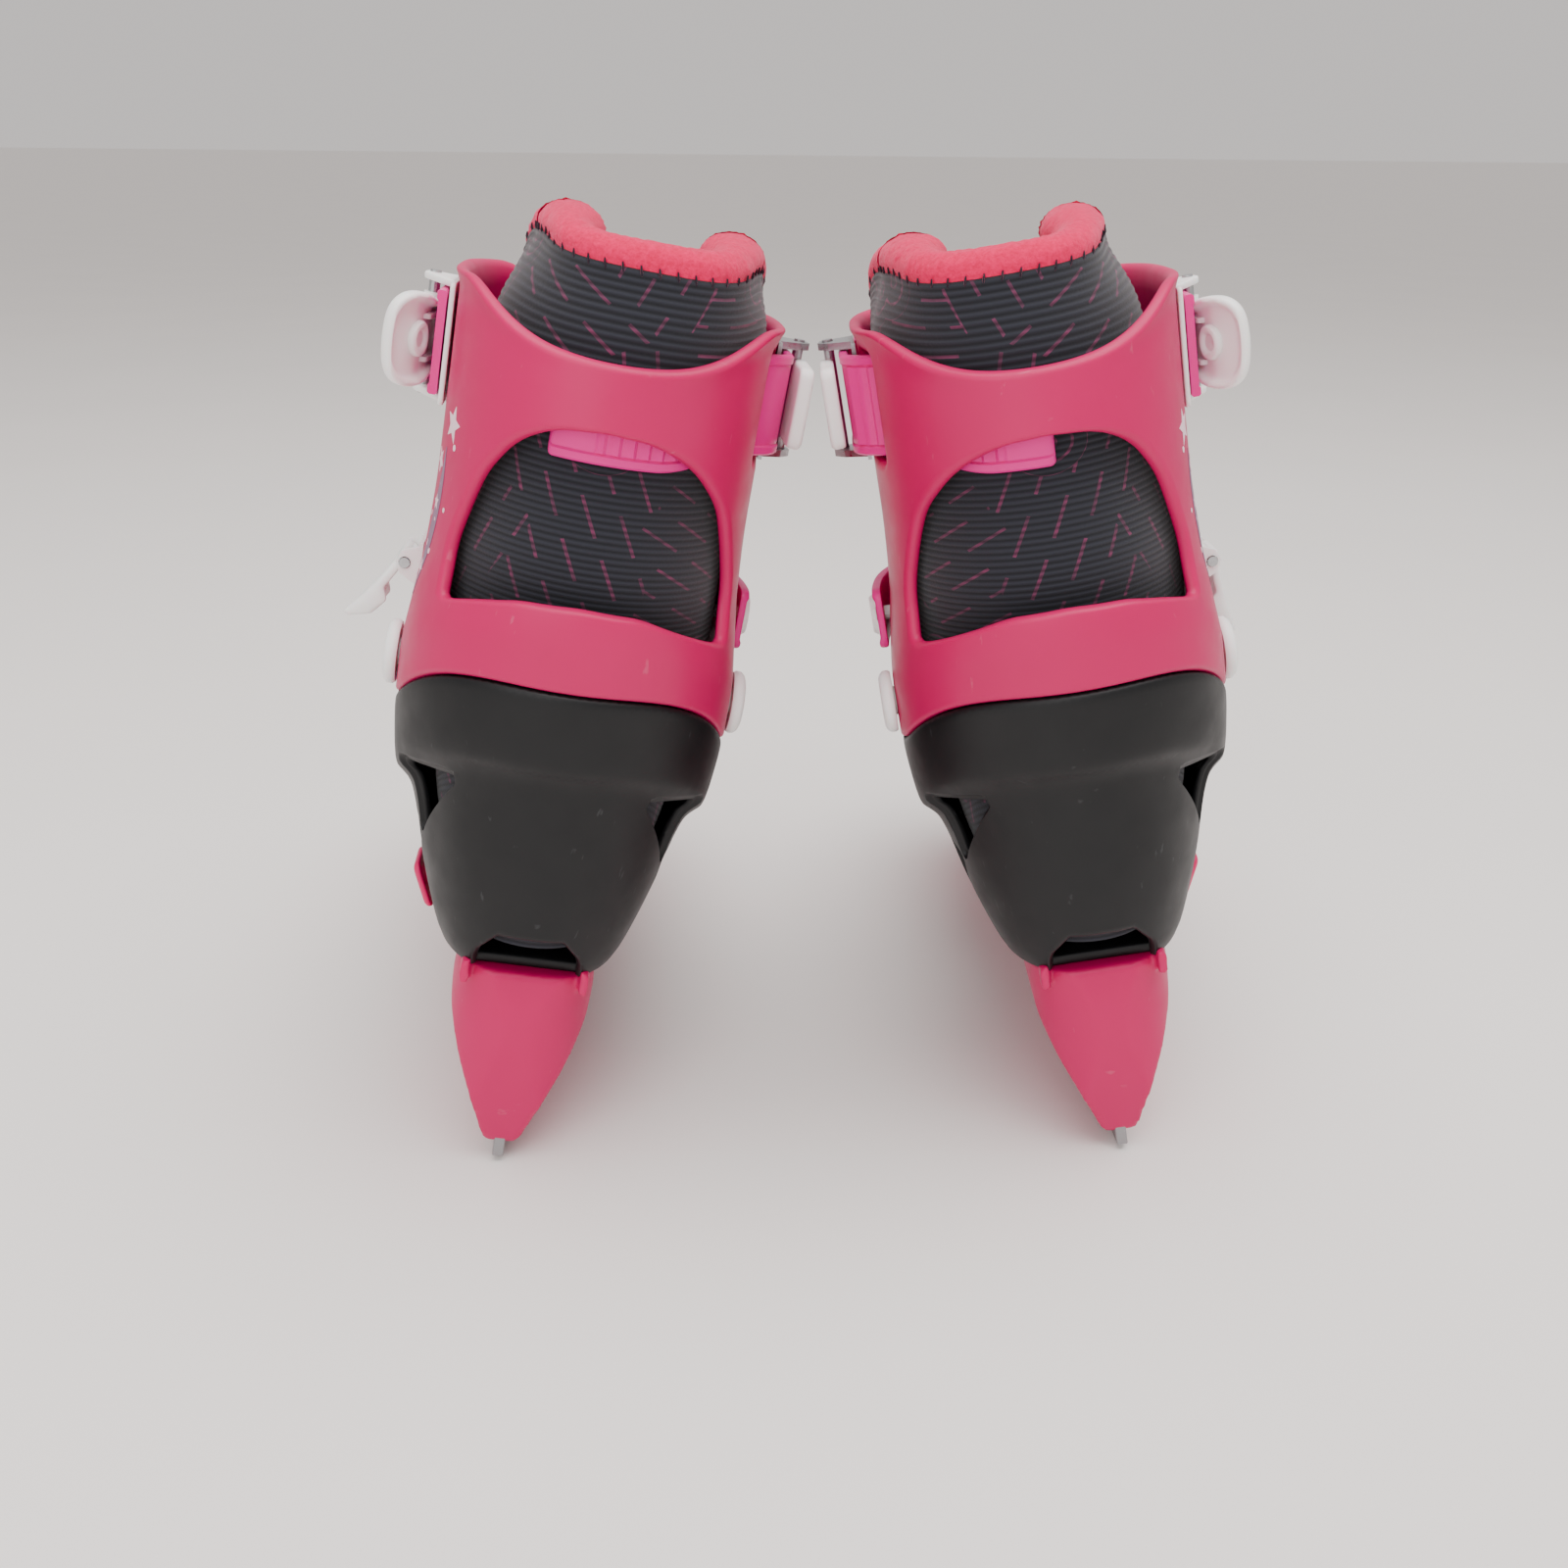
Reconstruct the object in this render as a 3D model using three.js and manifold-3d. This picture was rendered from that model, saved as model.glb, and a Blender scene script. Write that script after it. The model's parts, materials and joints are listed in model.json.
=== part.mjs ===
// A child's pair of adjustable ice skates with hard shells, standing on their blades and leaning together.
// Millimetres, +Z up. One skate is drawn upright with +X to its outer side and +Y to its toe, its blade
// standing on z = 0 with the heel end at y = 0. The pair is that skate and its mirror image.
import * as THREE from "three";
import { mergeVertices } from "three/addons/utils/BufferGeometryUtils.js";
import Module from "manifold-3d";

const wasm = await Module();
wasm.setup();

// ---- Driving dimensions ----
const DEGREE = Math.PI / 180;
const LEAN = 10.5 * DEGREE; // each skate tips in towards the other
const TOE_OUT = 3.3 * DEGREE;
const SEAT = 0.3; // gap between pieces that touch
const RUN = 0.5; // gap between pieces that slide or turn

const BLADE = { length: 232, thickness: 3, height: 21, heelLift: 2, tipRise: 17, flatFrom: 8, flatTo: 196 };
const HOLDER = { bottom: 6.5, top: 60, beamTop: 25, rearTowerEnd: 58, frontTowerStart: 146, frontEnd: 206 };
const SHELL_WALL = 3;
const TOE_WALL = 2.6;
const CUFF_WALL = 3;
const LINER_WALL = 6;
const SOLE = 3; // floor of the heel shell and of the toe shell
const TRACK_END = 200; // the heel shell's floor runs on under the toe shell as its track
const HEEL_FRONT = 140; // where the heel shell's side walls end
const TOE_REAR = 100;
const PIVOT = { y: 33, z: 132, radius: 4 };
const CAP = { radius: 8.5, thickness: 3.6, head: 6.5, headThickness: 1.6 };
const WINDOW = { bottom: 157, top: 204, arch: 7, halfBottom: 34, halfShoulder: 26, halfTop: 12 };
const FRONT_GAP = { bottom: 24, top: 27 }; // half the cuff's front opening
const STRAP = { width: 25, thickness: 2, z: 212, tailDrop: 6.5 };
const INSTEP = { width: 17, thickness: 2, z: 152 };
const BUCKLE = { pinRadius: 1.5, ear: 1.8, steel: 1, standOff: 7.3, y: 50 };
const KNUCKLE = 2.4; // radius of a lever's end round its pin
const LEVER = { thickness: 2.2, plate: 3.8, plateLength: 20, plateHeight: 21 };
const BUTTON = { y: 38, z: 67, width: 15, height: 14, proud: 3, depth: 5.2, corner: 3, tilt: 22 * DEGREE };
const COLLAR = { height: 9, width: 9 };
const TONGUE = { halfWidth: 18, top: 238, bottom: 138 };

const FORM_TOP = 148;
// Foot form: the heel shell's outer outline at each height above the ice.
const FORM = [
  { z: HOLDER.top + SEAT, rear: -5.5, half: 23.5, centre: 22, front: 210, ball: 33, ballY: 160 },
  { z: 63, rear: -6.8, half: 25, centre: 22, front: 218, ball: 38, ballY: 162 },
  { z: 70, rear: -8, half: 28, centre: 23, front: 225, ball: 42, ballY: 164 },
  { z: 80, rear: -9.5, half: 31.5, centre: 24, front: 225, ball: 43.5, ballY: 164 },
  { z: 98, rear: -11.5, half: 36.5, centre: 26, front: 202, ball: 39, ballY: 150 },
  { z: 114, rear: -12.4, half: 38.7, centre: 28, front: 142, ball: 33, ballY: 104 },
  { z: 122, rear: -11.6, half: 39, centre: 30, front: 122, ball: 34, ballY: 84 },
  { z: 132, rear: -6.6, half: 39, centre: 32, front: 102, ball: 36, ballY: 66 },
  { z: FORM_TOP, rear: -3, half: 38, centre: 33, front: 88, ball: 37, ballY: 50 },
];
const CUFF_BOTTOM = 122.8;
const CUFF_TOP = 231;
// Bulged band round the top of the heel shell, flush with the cuff.
const BAND = [
  { z: 98.5, rear: -11.4, half: 36.5 },
  { z: 102.5, rear: -14, half: 40.5 },
  { z: 111, rear: -15, half: 42.4 },
  { z: CUFF_BOTTOM - 0.6, rear: -15.5, half: 43.4 },
];
const CUFF = [
  { z: CUFF_BOTTOM, rear: -15.5, half: 43.5, centre: 30, front: 74 },
  { z: 135, rear: -15.5, half: 43.5, centre: 31, front: 75 },
  { z: 150, rear: -15.2, half: 42, centre: 32, front: 76 },
  { z: 165, rear: -14.2, half: 40.2, centre: 33, front: 77 },
  { z: 185, rear: -12.4, half: 39.4, centre: 35, front: 78 },
  { z: 205, rear: -10.6, half: 39.4, centre: 36, front: 79 },
  { z: 227, rear: -9.2, half: 39.4, centre: 36, front: 79 },
  { z: CUFF_TOP, rear: -8.8, half: 41, centre: 36, front: 80 },
];
const SHAFT = [
  { z: 131.5, rear: 1, half: 32.4, centre: 31, front: 75 },
  { z: 150, rear: 0.4, half: 33.2, centre: 32, front: 72 },
  { z: 168, rear: -6.6, half: 34.6, centre: 33, front: 72 },
  { z: 186, rear: -5, half: 34, centre: 35, front: 73 },
  { z: 191, rear: -2.7, half: 32.4, centre: 35, front: 73.5 },
  { z: 220, rear: -2.6, half: 32.4, centre: 35, front: 74 },
  { z: 236, rear: -2.6, half: 33.2, centre: 35, front: 74 },
];

// ---- Small tools ----
const mix = (a, b, t) => a + (b - a) * t;
const smooth = (t) => {
  const s = Math.min(1, Math.max(0, t));
  return s * s * (3 - 2 * s);
};

/** Reads every field of a table of sections at height z. */
function sectionAt(table, z) {
  const i = Math.max(1, table.findIndex((row) => row.z >= z));
  const last = table.at(-1);
  if (z >= last.z) return { ...last, z };
  const [a, b] = [table[i - 1], table[i]];
  const t = Math.max(0, (z - a.z) / (b.z - a.z));
  return Object.fromEntries(Object.keys(a).map((key) => [key, mix(a[key], b[key], t)]));
}

/** Closed solid through rings of points that match one another. */
function loft(rings) {
  const count = rings[0].length;
  const index = [];
  for (let r = 0; r + 1 < rings.length; r++) {
    for (let i = 0; i < count; i++) {
      const j = (i + 1) % count;
      const [a, b, c, d] = [r * count + i, r * count + j, (r + 1) * count + j, (r + 1) * count + i];
      index.push(a, b, c, a, c, d);
    }
  }
  const top = (rings.length - 1) * count;
  for (let i = 1; i + 1 < count; i++) {
    index.push(0, i + 1, i);
    index.push(top, top + i, top + i + 1);
  }
  const geometry = new THREE.BufferGeometry();
  geometry.setAttribute("position", new THREE.Float32BufferAttribute(rings.flat(2), 3));
  geometry.setIndex(index);
  return geometry;
}

/** A geometry as a solid that can be joined and cut. */
function solid(geometry) {
  const bare = geometry.clone();
  bare.deleteAttribute("normal");
  bare.deleteAttribute("uv");
  const merged = mergeVertices(bare, 1e-4);
  const shape = new wasm.Manifold(new wasm.Mesh({
    numProp: 3,
    vertProperties: new Float32Array(merged.attributes.position.array),
    triVerts: new Uint32Array(merged.index.array),
  }));
  return shape;
}

const cut = (body, ...tools) => tools.reduce((left, tool) => left.subtract(tool), body);
const join = (first, ...rest) => rest.reduce((sum, body) => sum.add(body), first);

/** Outline drawn on a plane and pushed along the third axis. */
function prism(points, from, to, axis) {
  const shape = new THREE.Shape(points.map(([u, v]) => new THREE.Vector2(u, v)));
  const geometry = new THREE.ExtrudeGeometry(shape, { depth: to - from, bevelEnabled: false, steps: 1 });
  geometry.translate(0, 0, from);
  const [x, y, z] = [new THREE.Vector3(1, 0, 0), new THREE.Vector3(0, 1, 0), new THREE.Vector3(0, 0, 1)];
  const basis = new THREE.Matrix4();
  if (axis === "x") basis.makeBasis(y, z, x);
  if (axis === "y") {
    geometry.translate(0, 0, -from - to);
    basis.makeBasis(x, z, y.negate());
  }
  return solid(geometry.applyMatrix4(basis));
}

const box = (x0, x1, y0, y1, z0, z1) => prism([[x0, y0], [x1, y0], [x1, y1], [x0, y1]], z0, z1, "z");

/** Round bar between two points. */
function bar(from, to, radius, sides = 12) {
  const [a, b] = [new THREE.Vector3(...from), new THREE.Vector3(...to)];
  const geometry = new THREE.CylinderGeometry(radius, radius, a.distanceTo(b), sides);
  const turn = new THREE.Quaternion().setFromUnitVectors(
    new THREE.Vector3(0, 1, 0), b.clone().sub(a).normalize());
  geometry.applyQuaternion(turn);
  const middle = a.add(b).multiplyScalar(0.5);
  return solid(geometry.translate(middle.x, middle.y, middle.z));
}

/** Headed pin turned about an axis along x: [x, radius] pairs from one end to the other. */
function turned(profile, y, z, sides = 14) {
  const points = profile.map(([x, r]) => new THREE.Vector2(r, x));
  const geometry = new THREE.LatheGeometry(points, sides);
  return solid(geometry.rotateZ(-Math.PI / 2).translate(0, y, z));
}

// ---- Outlines ----
const ARC_STEPS = 6;
const SIDE_STEPS = 3;
const FRONT_SQUARENESS = 3.4; // a superellipse power: the ankle is boxier in front than behind

/** Outline at one height: a round heel, sides that run to the ball of the foot, and a round toe. */
function outline({ rear, half, centre, front, ball = half, ballY = centre }, inset, power) {
  const side = [];
  for (let i = 0; i < ARC_STEPS; i++) {
    const a = (i / ARC_STEPS) * (Math.PI / 2);
    side.push([(half - inset) * Math.sin(a), centre - (centre - rear - inset) * Math.cos(a)]);
  }
  const steps = ballY > centre ? SIDE_STEPS : 1;
  for (let i = 0; i < steps; i++) {
    side.push([mix(half, ball, smooth(i / steps)) - inset, mix(centre, ballY, i / steps)]);
  }
  for (let i = 0; i <= ARC_STEPS; i++) {
    const a = (i / ARC_STEPS) * (Math.PI / 2);
    const across = (ball - inset) * Math.pow(Math.max(0, Math.cos(a)), 2 / power);
    side.push([across, ballY + (front - ballY - inset) * Math.pow(Math.sin(a), 2 / power)]);
  }
  const inner = side.slice(1, -1).reverse().map(([x, y]) => [-x, y]);
  return [...side, ...inner];
}

/** How far the lines round the ankle climb towards the heel: whole at the back, none at the sides. */
const HEEL_RISE = 20.6;
const RISE_START = 30;
const RISE_END = -15.5;
const climb = (y) => HEEL_RISE * smooth((RISE_START - y) / (RISE_START - RISE_END)) ** 0.8;
const RIM_DROP = 12;
const dip = (y) => RIM_DROP * (1 - smooth((y + 11) / 30));

/** Stack of outlines, with each point's height moved by lift(z, y). */
function stack(table, levels, inset, lift, power = 2.2) {
  return solid(loft(levels.map((z) =>
    outline(sectionAt(table, z), inset, power).map(([x, y]) => [x, y, z + lift(z, y)]))));
}

const levelsBetween = (table, low, high) =>
  [low, ...table.map((row) => row.z).filter((z) => z > low + 0.5 && z < high - 0.5), high];

const SHELL_LIFT_FROM = 62;
const SHELL_LIFT_WHOLE = 100;
const shellLift = (z, y) =>
  climb(y) * smooth((z - SHELL_LIFT_FROM) / (SHELL_LIFT_WHOLE - SHELL_LIFT_FROM));
const CUFF_LIFT_FROM = 122;
const CUFF_LIFT_ENDS = 175;
const DIP_STARTS = 196;
function cuffLift(z, y) {
  const rise = climb(y) * (1 - smooth((z - CUFF_LIFT_FROM) / (CUFF_LIFT_ENDS - CUFF_LIFT_FROM)));
  return rise - dip(y) * smooth((z - DIP_STARTS) / (CUFF_TOP - DIP_STARTS));
}
const level = () => 0;

/** The foot form drawn in by an inset; its upper side comes down by the same amount. */
function footForm(inset, low, high, table = FORM, stretch = 0) {
  const levels = levelsBetween(table, low, high);
  const lift = (z, y) => shellLift(z, y) - inset * smooth((z - 80) / 20) * smooth((y - 60) / 50);
  const narrowed = FORM.map((row) => ({ ...row, ball: row.ball - stretch }));
  return stack(narrowed, levels, inset, lift);
}

// ---- Pieces of one skate ----
const COLOURS = {
  pink: [0xd23c69, 0.42, 0],
  black: [0x2b2d31, 0.5, 0],
  white: [0xeceae8, 0.35, 0],
  magenta: [0xe0249a, 0.35, 0],
  steel: [0xa9aaab, 0.28, 1],
  zinc: [0x8f9194, 0.4, 1],
  cloth: [0x2c2a38, 0.9, 0],
  fleece: [0xe8447a, 0.95, 0],
  foam: [0x55565c, 0.9, 0],
};

/** Named mesh of a solid, with its vertices measured from origin, where the mesh then stands. */
function piece(name, body, colour, origin = [0, 0, 0]) {
  const { vertProperties, triVerts } = body.getMesh();
  const geometry = new THREE.BufferGeometry();
  geometry.setAttribute("position", new THREE.Float32BufferAttribute(vertProperties, 3));
  geometry.setIndex(Array.from(triVerts));
  geometry.translate(-origin[0], -origin[1], -origin[2]);
  geometry.computeVertexNormals();
  const [color, roughness, metalness] = COLOURS[colour];
  const mesh = new THREE.Mesh(geometry, new THREE.MeshStandardMaterial({ color, roughness, metalness }));
  mesh.name = name;
  return mesh;
}

/** Strip of constant thickness along points [x, y, z, half height], standing upright. */
function ribbon(points, thickness) {
  const rings = points.map(([x, y, z, halfHeight], i) => {
    const before = points[Math.max(0, i - 1)];
    const after = points[Math.min(points.length - 1, i + 1)];
    const run = Math.hypot(after[0] - before[0], after[1] - before[1]);
    const nx = ((after[1] - before[1]) / run) * thickness / 2;
    const ny = (-(after[0] - before[0]) / run) * thickness / 2;
    return [
      [x + nx, y + ny, z - halfHeight],
      [x - nx, y - ny, z - halfHeight],
      [x - nx, y - ny, z + halfHeight],
      [x + nx, y + ny, z + halfHeight],
    ];
  });
  return solid(loft(rings));
}

/** Point on the cuff's outer face at height z, pushed out by offset; 0 is the outer side, 90 degrees the toe. */
function onCuff(z, angle, offset) {
  const { rear, half, centre, front } = sectionAt(CUFF, z);
  const [c, s] = [Math.cos(angle), Math.sin(angle)];
  const power = s > 0 ? 2 / FRONT_SQUARENESS : 1;
  const reach = s > 0 ? front - centre : centre - rear;
  return [
    (half + offset) * Math.sign(c) * Math.abs(c) ** power,
    centre + (reach + offset) * Math.sign(s) * Math.abs(s) ** power,
  ];
}

function blade() {
  const { length, thickness, height, heelLift, tipRise, flatFrom, flatTo } = BLADE;
  const profile = [[0, heelLift], [flatFrom, 0], [flatTo, 0]];
  for (let i = 1; i <= 6; i++) {
    const t = i / 6;
    profile.push([mix(flatTo, length, t), tipRise * t * t]);
  }
  profile.push([length - 6, height], [8, height], [1, 9]);
  const plate = prism(profile, -thickness / 2, thickness / 2, "x");
  return cut(plate, ...BLADE_BOLTS.map(({ y, z }) => bar([-5, y, z], [5, y, z], BOLT_RADIUS + 0.4)));
}

const BOLT_RADIUS = 2;
const BOLT_HEAD = 3.6;
const BOLT_SEAT = 5.4; // half the length between the heads
const BOLT_HEAD_HEIGHT = 1.6;
const BLADE_BOLTS = [{ name: "rear", y: 34, z: 15 }, { name: "front", y: 176, z: 15 }];
const SOLE_BOLTS = [{ name: "rear", y: 34 }, { name: "front", y: 172 }];
const SOLE_BOLT = { radius: 2.5, head: 5, depth: 12, headHeight: 1.8 };

/** Half width of the blade holder's towers against height. */
const HOLDER_WIDTHS = [[6.5, 3.4], [9, 5], [14, 6.8], [21, 9.6], [34, 14.8], [46, 18], [53, 18.4], [60, 17.6]];

function bladeHolder() {
  const { bottom, top, beamTop, rearTowerEnd, frontTowerStart, frontEnd } = HOLDER;
  const side = [
    [1.5, bottom], [BLADE.flatTo + 14, bottom], [222, 14], [219, beamTop - 3], [212, beamTop + 6],
    [frontEnd, top], [frontTowerStart, top], [frontTowerStart + 8, beamTop + 12],
    [frontTowerStart - 4, beamTop + 2], [rearTowerEnd + 14, beamTop + 2], [rearTowerEnd + 2, beamTop + 12],
    [rearTowerEnd, top], [0.5, top], [-2.4, 50], [-2.6, 40], [-1.2, 20], [0.2, 9],
  ];
  const across = [
    ...HOLDER_WIDTHS.map(([z, half]) => [half, z]),
    ...HOLDER_WIDTHS.toReversed().map(([z, half]) => [-half, z]),
  ];
  const plan = outline({ rear: -3, half: 19, centre: 14, front: 224, ball: 19, ballY: 190 }, 0, 2);
  const shaped = prism(side, -30, 30, "x")
    .intersect(prism(across, -10, 240, "y"))
    .intersect(prism(plan, 0, 80, "z"));
  const slotHalf = BLADE.thickness / 2 + SEAT;
  const slot = box(-slotHalf, slotHalf, -10, BLADE.length + 10, 0, BLADE.height + SEAT);
  const crossHoles = BLADE_BOLTS.map(({ y, z }) => bar([-30, y, z], [30, y, z], BOLT_RADIUS + SEAT));
  const headSinks = BLADE_BOLTS.flatMap(({ y, z }) =>
    [-1, 1].map((side) => bar([side * (BOLT_SEAT - SEAT), y, z], [side * 30, y, z], BOLT_HEAD + SEAT)));
  const soleHoles = SOLE_BOLTS.map(({ y }) =>
    bar([0, y, top - SOLE_BOLT.depth - 1], [0, y, top + 1], SOLE_BOLT.radius + SEAT));
  return cut(shaped, slot, ...crossHoles, ...headSinks, ...soleHoles);
}

/** The heel shell before it is hollowed: the foot form and its band, cut to the rim and the side walls. */
function heelShellOutside() {
  const form = footForm(0, FORM[0].z, FORM_TOP);
  const bandTable = BAND.map((row) => ({ ...sectionAt(FORM, row.z), ...row }));
  const band = stack(bandTable, BAND.map((row) => row.z), 0, shellLift);
  const rimCut = prism([
    [-40, 151.5], [-8, 151.5], [10, 149], [44, 141], [62, 126], [84, 108], [112, 97], [150, 90], [260, 90],
    [260, 220], [-40, 220],
  ], -80, 80, "x");
  const frontCut = prism([
    [TRACK_END, 40], [TRACK_END, FORM[0].z + SOLE], [HEEL_FRONT + 6, FORM[0].z + SOLE],
    [HEEL_FRONT, 78], [HEEL_FRONT - 12, 120], [260, 120], [260, 40],
  ], -80, 80, "x");
  return cut(join(form, band), rimCut, frontCut);
}

const VENTS = [
  [[-1, 113], [16, 109.5], [15, 92]],
  [[17, 90], [25, 92], [22.5, 79]],
];

function buttonPrism(clearance, from, to) {
  const { width, height, corner } = BUTTON;
  const [w, h, c] = [width / 2 + clearance, height / 2 + clearance, corner];
  const points = [
    [-w + c, -h], [w - c, -h], [w, -h + c], [w, h - c], [w - c, h], [-w + c, h], [-w, h - c], [-w, -h + c],
  ];
  const body = prism(points, from, to, "x");
  return body.rotate([0, BUTTON.tilt / DEGREE, 0]).translate([buttonSurface(), BUTTON.y, BUTTON.z]);
}

const buttonSurface = () => {
  const { half, ball, centre, ballY } = sectionAt(FORM, BUTTON.z);
  return mix(half, ball, smooth((BUTTON.y - centre) / (ballY - centre)));
};

function heelShell() {
  const top = FORM.at(-1);
  const above = FORM_TOP + END_CUT * 2;
  const inside = footForm(SHELL_WALL, FORM[0].z + SOLE, FORM_TOP)
    .add(stack([top, { ...top, z: above }], [FORM_TOP - 0.5, above], SHELL_WALL, shellLift));
  const ventTools = VENTS.flatMap((corners) => [prism(corners, 8, 60, "x"), prism(corners, -60, -8, "x")]);
  const { z } = FORM[0];
  const heelCut = prism(
    [[-14, z - 5], [14, z - 5], [14, 65], [9, 73], [-9, 73], [-14, 65]], -30, 2, "y");
  const pivotHole = bar([-60, PIVOT.y, PIVOT.z], [60, PIVOT.y, PIVOT.z], PIVOT.radius + SEAT, 16);
  const boltHoles = SOLE_BOLTS.map(({ y }) => bar([0, y, 50], [0, y, 70], SOLE_BOLT.radius + SEAT));
  return cut(heelShellOutside(), inside, ...ventTools, heelCut, pivotHole, ...boltHoles,
    buttonPrism(RUN, -8, 12));
}

const TOE_INSET = SHELL_WALL + RUN;
const TOE_FLOOR = FORM[0].z + SOLE + RUN;
const BOLT_HEAD_ROOM = SOLE_BOLT.headHeight + 1;

function toeShell() {
  const outside = footForm(TOE_INSET, TOE_FLOOR, 122);
  const inside = footForm(TOE_INSET + TOE_WALL, TOE_FLOOR + TOE_WALL, 122)
    .add(footForm(TOE_INSET + TOE_WALL, 118, 122).translate([0, -12, 2]));
  const rearCut = box(-80, 80, -40, TOE_REAR, 0, 200);
  const throat = prism([[60, 90], [98, 92], [126, 101], [150, 140], [60, 140]], -80, 80, "x");
  const boltSlot = box(-SOLE_BOLT.head - 1, SOLE_BOLT.head + 1, TOE_REAR - 1,
    SOLE_BOLTS[1].y + SOLE_BOLT.head + 1, 0, TOE_FLOOR + TOE_WALL + 1);
  return cut(outside, inside, rearCut, throat, boltSlot);
}

function cuffShape(inset) {
  return stack(CUFF, levelsBetween(CUFF, CUFF_BOTTOM, CUFF_TOP), inset, cuffLift, FRONT_SQUARENESS);
}

/** Arched window in the cuff's back, as [x, z]. */
function windowOutline() {
  const { bottom, top, arch, halfBottom, halfShoulder, halfTop } = WINDOW;
  const right = [
    [0, bottom + arch], [halfBottom * 0.45, bottom + arch * 0.8], [halfBottom * 0.8, bottom + arch * 0.25],
    [halfBottom, bottom], [halfBottom - 1, bottom + 13], [halfShoulder, top - 15], [halfShoulder - 5, top - 6],
    [halfTop, top - 1],
  ];
  return [...right, [0, top], ...right.slice(1).toReversed().map(([x, z]) => [-x, z])];
}

const END_CUT = 13; // how far a hollowing tool runs past an open end

function cuff() {
  const outside = cuffShape(0);
  const top = CUFF.at(-1);
  const below = CUFF_BOTTOM - END_CUT;
  const above = CUFF_TOP + END_CUT;
  const mouths = [
    stack([{ ...CUFF[0], z: below }, { ...CUFF[0], z: CUFF_BOTTOM + 0.2 }],
      [below, CUFF_BOTTOM + 0.2], CUFF_WALL, (z, y) => cuffLift(CUFF_LIFT_FROM, y), FRONT_SQUARENESS),
    stack([{ ...top, z: CUFF_TOP - 2 }, { ...top, z: above }],
      [CUFF_TOP - 2, above], CUFF_WALL, (z, y) => -dip(y), FRONT_SQUARENESS),
  ];
  const rearWindow = prism(windowOutline(), -30, 16, "y");
  const frontGap = prism([
    [-FRONT_GAP.bottom, 100], [FRONT_GAP.bottom, 100], [FRONT_GAP.top, 240], [-FRONT_GAP.top, 240],
  ], 50, 100, "y");
  const lowerFront = prism([
    [34, 100], [38, 124], [46, 128], [54, 136], [62, 141], [100, 143], [100, 100],
  ], -80, 80, "x");
  const pivotHole = bar([-60, PIVOT.y, PIVOT.z], [60, PIVOT.y, PIVOT.z], PIVOT.radius + 0.1, 16);
  const strapSlot = ribbon(cuffStrapPath(0.8, 190, 252, 9), STRAP.thickness + 1.6);
  return cut(outside, cuffShape(CUFF_WALL), ...mouths, rearWindow, frontGap, lowerFront, pivotHole, strapSlot,
    anchorHole());
}

/** Ankle rivet: cap outside the cuff, shank through cuff and shell, head inside the shell. */
function ankleRivet(side) {
  const outer = sectionAt(CUFF, PIVOT.z).half;
  const inner = sectionAt(FORM, PIVOT.z).half - SHELL_WALL;
  const capFrom = outer + SEAT;
  const headTo = inner - SEAT - 0.8; // clear of the wall's curve
  const profile = [
    [headTo - CAP.headThickness, 0], [headTo - CAP.headThickness, CAP.head], [headTo, CAP.head],
    [headTo, PIVOT.radius - 0.1], [capFrom, PIVOT.radius - 0.1], [capFrom, CAP.radius],
    [capFrom + CAP.thickness * 0.6, CAP.radius], [capFrom + CAP.thickness, CAP.radius - 1.6],
    [capFrom + CAP.thickness, 0],
  ];
  const rivet = turned(profile, PIVOT.y, PIVOT.z, 20);
  return side > 0 ? rivet : rivet.mirror([1, 0, 0]);
}

const LINER_INSET = SHELL_WALL + RUN + TOE_WALL + RUN;
const LINER_FLOOR = TOE_FLOOR + TOE_WALL + RUN;
const STRETCH_ROOM = 3.4; // lets the widening toe shell slide forwards past the liner
const FOOT_TOP = 129;
const INSTEP_TOP = 146;
const INSTEP_START = 84; // ahead of this the liner roofs the instep
const LINER_BASE = 4; // thickness of the liner under the foot
const INSOLE_THICKNESS = 3;
const COARSE_FORM = FORM.filter((row, i) => i % 2 === 1);

function linerFoot() {
  const outside = footForm(LINER_INSET, LINER_FLOOR, INSTEP_TOP, FORM, STRETCH_ROOM);
  const inside = footForm(LINER_INSET + LINER_WALL, LINER_FLOOR + LINER_BASE, INSTEP_TOP - LINER_WALL,
    COARSE_FORM, STRETCH_ROOM)
    .add(stack([{ ...sectionAt(FORM, 122), z: 110, front: 84, ball: 30, ballY: 50 },
      { ...sectionAt(FORM, 122), z: 190, front: 84, ball: 30, ballY: 50 }], [118, 190],
    LINER_INSET + LINER_WALL, level));
  const flexCut = prism([
    [-60, FOOT_TOP], [PIVOT.y, FOOT_TOP], [INSTEP_START, FOOT_TOP - 14], [INSTEP_START, 240], [-60, 240],
  ], -80, 80, "x");
  const boltRoom = SOLE_BOLTS.map(({ y }) => bar([0, y, 55], [0, y, LINER_FLOOR + 1.5], SOLE_BOLT.head + 1));
  return cut(outside, inside, flexCut, ...boltRoom);
}

/** Height of the liner's top edge: low at the back, an ear on each side, and lower again in front. */
function linerTop(y) {
  if (y < 28) return mix(237, 246, smooth((y + 2) / 30));
  return mix(246, 229, smooth((y - 28) / 40));
}

const SHAFT_TOP = SHAFT.at(-1).z;
const shaftLift = (z, y) => (linerTop(y) - SHAFT_TOP) * smooth((z - 205) / (SHAFT_TOP - 205));

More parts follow.
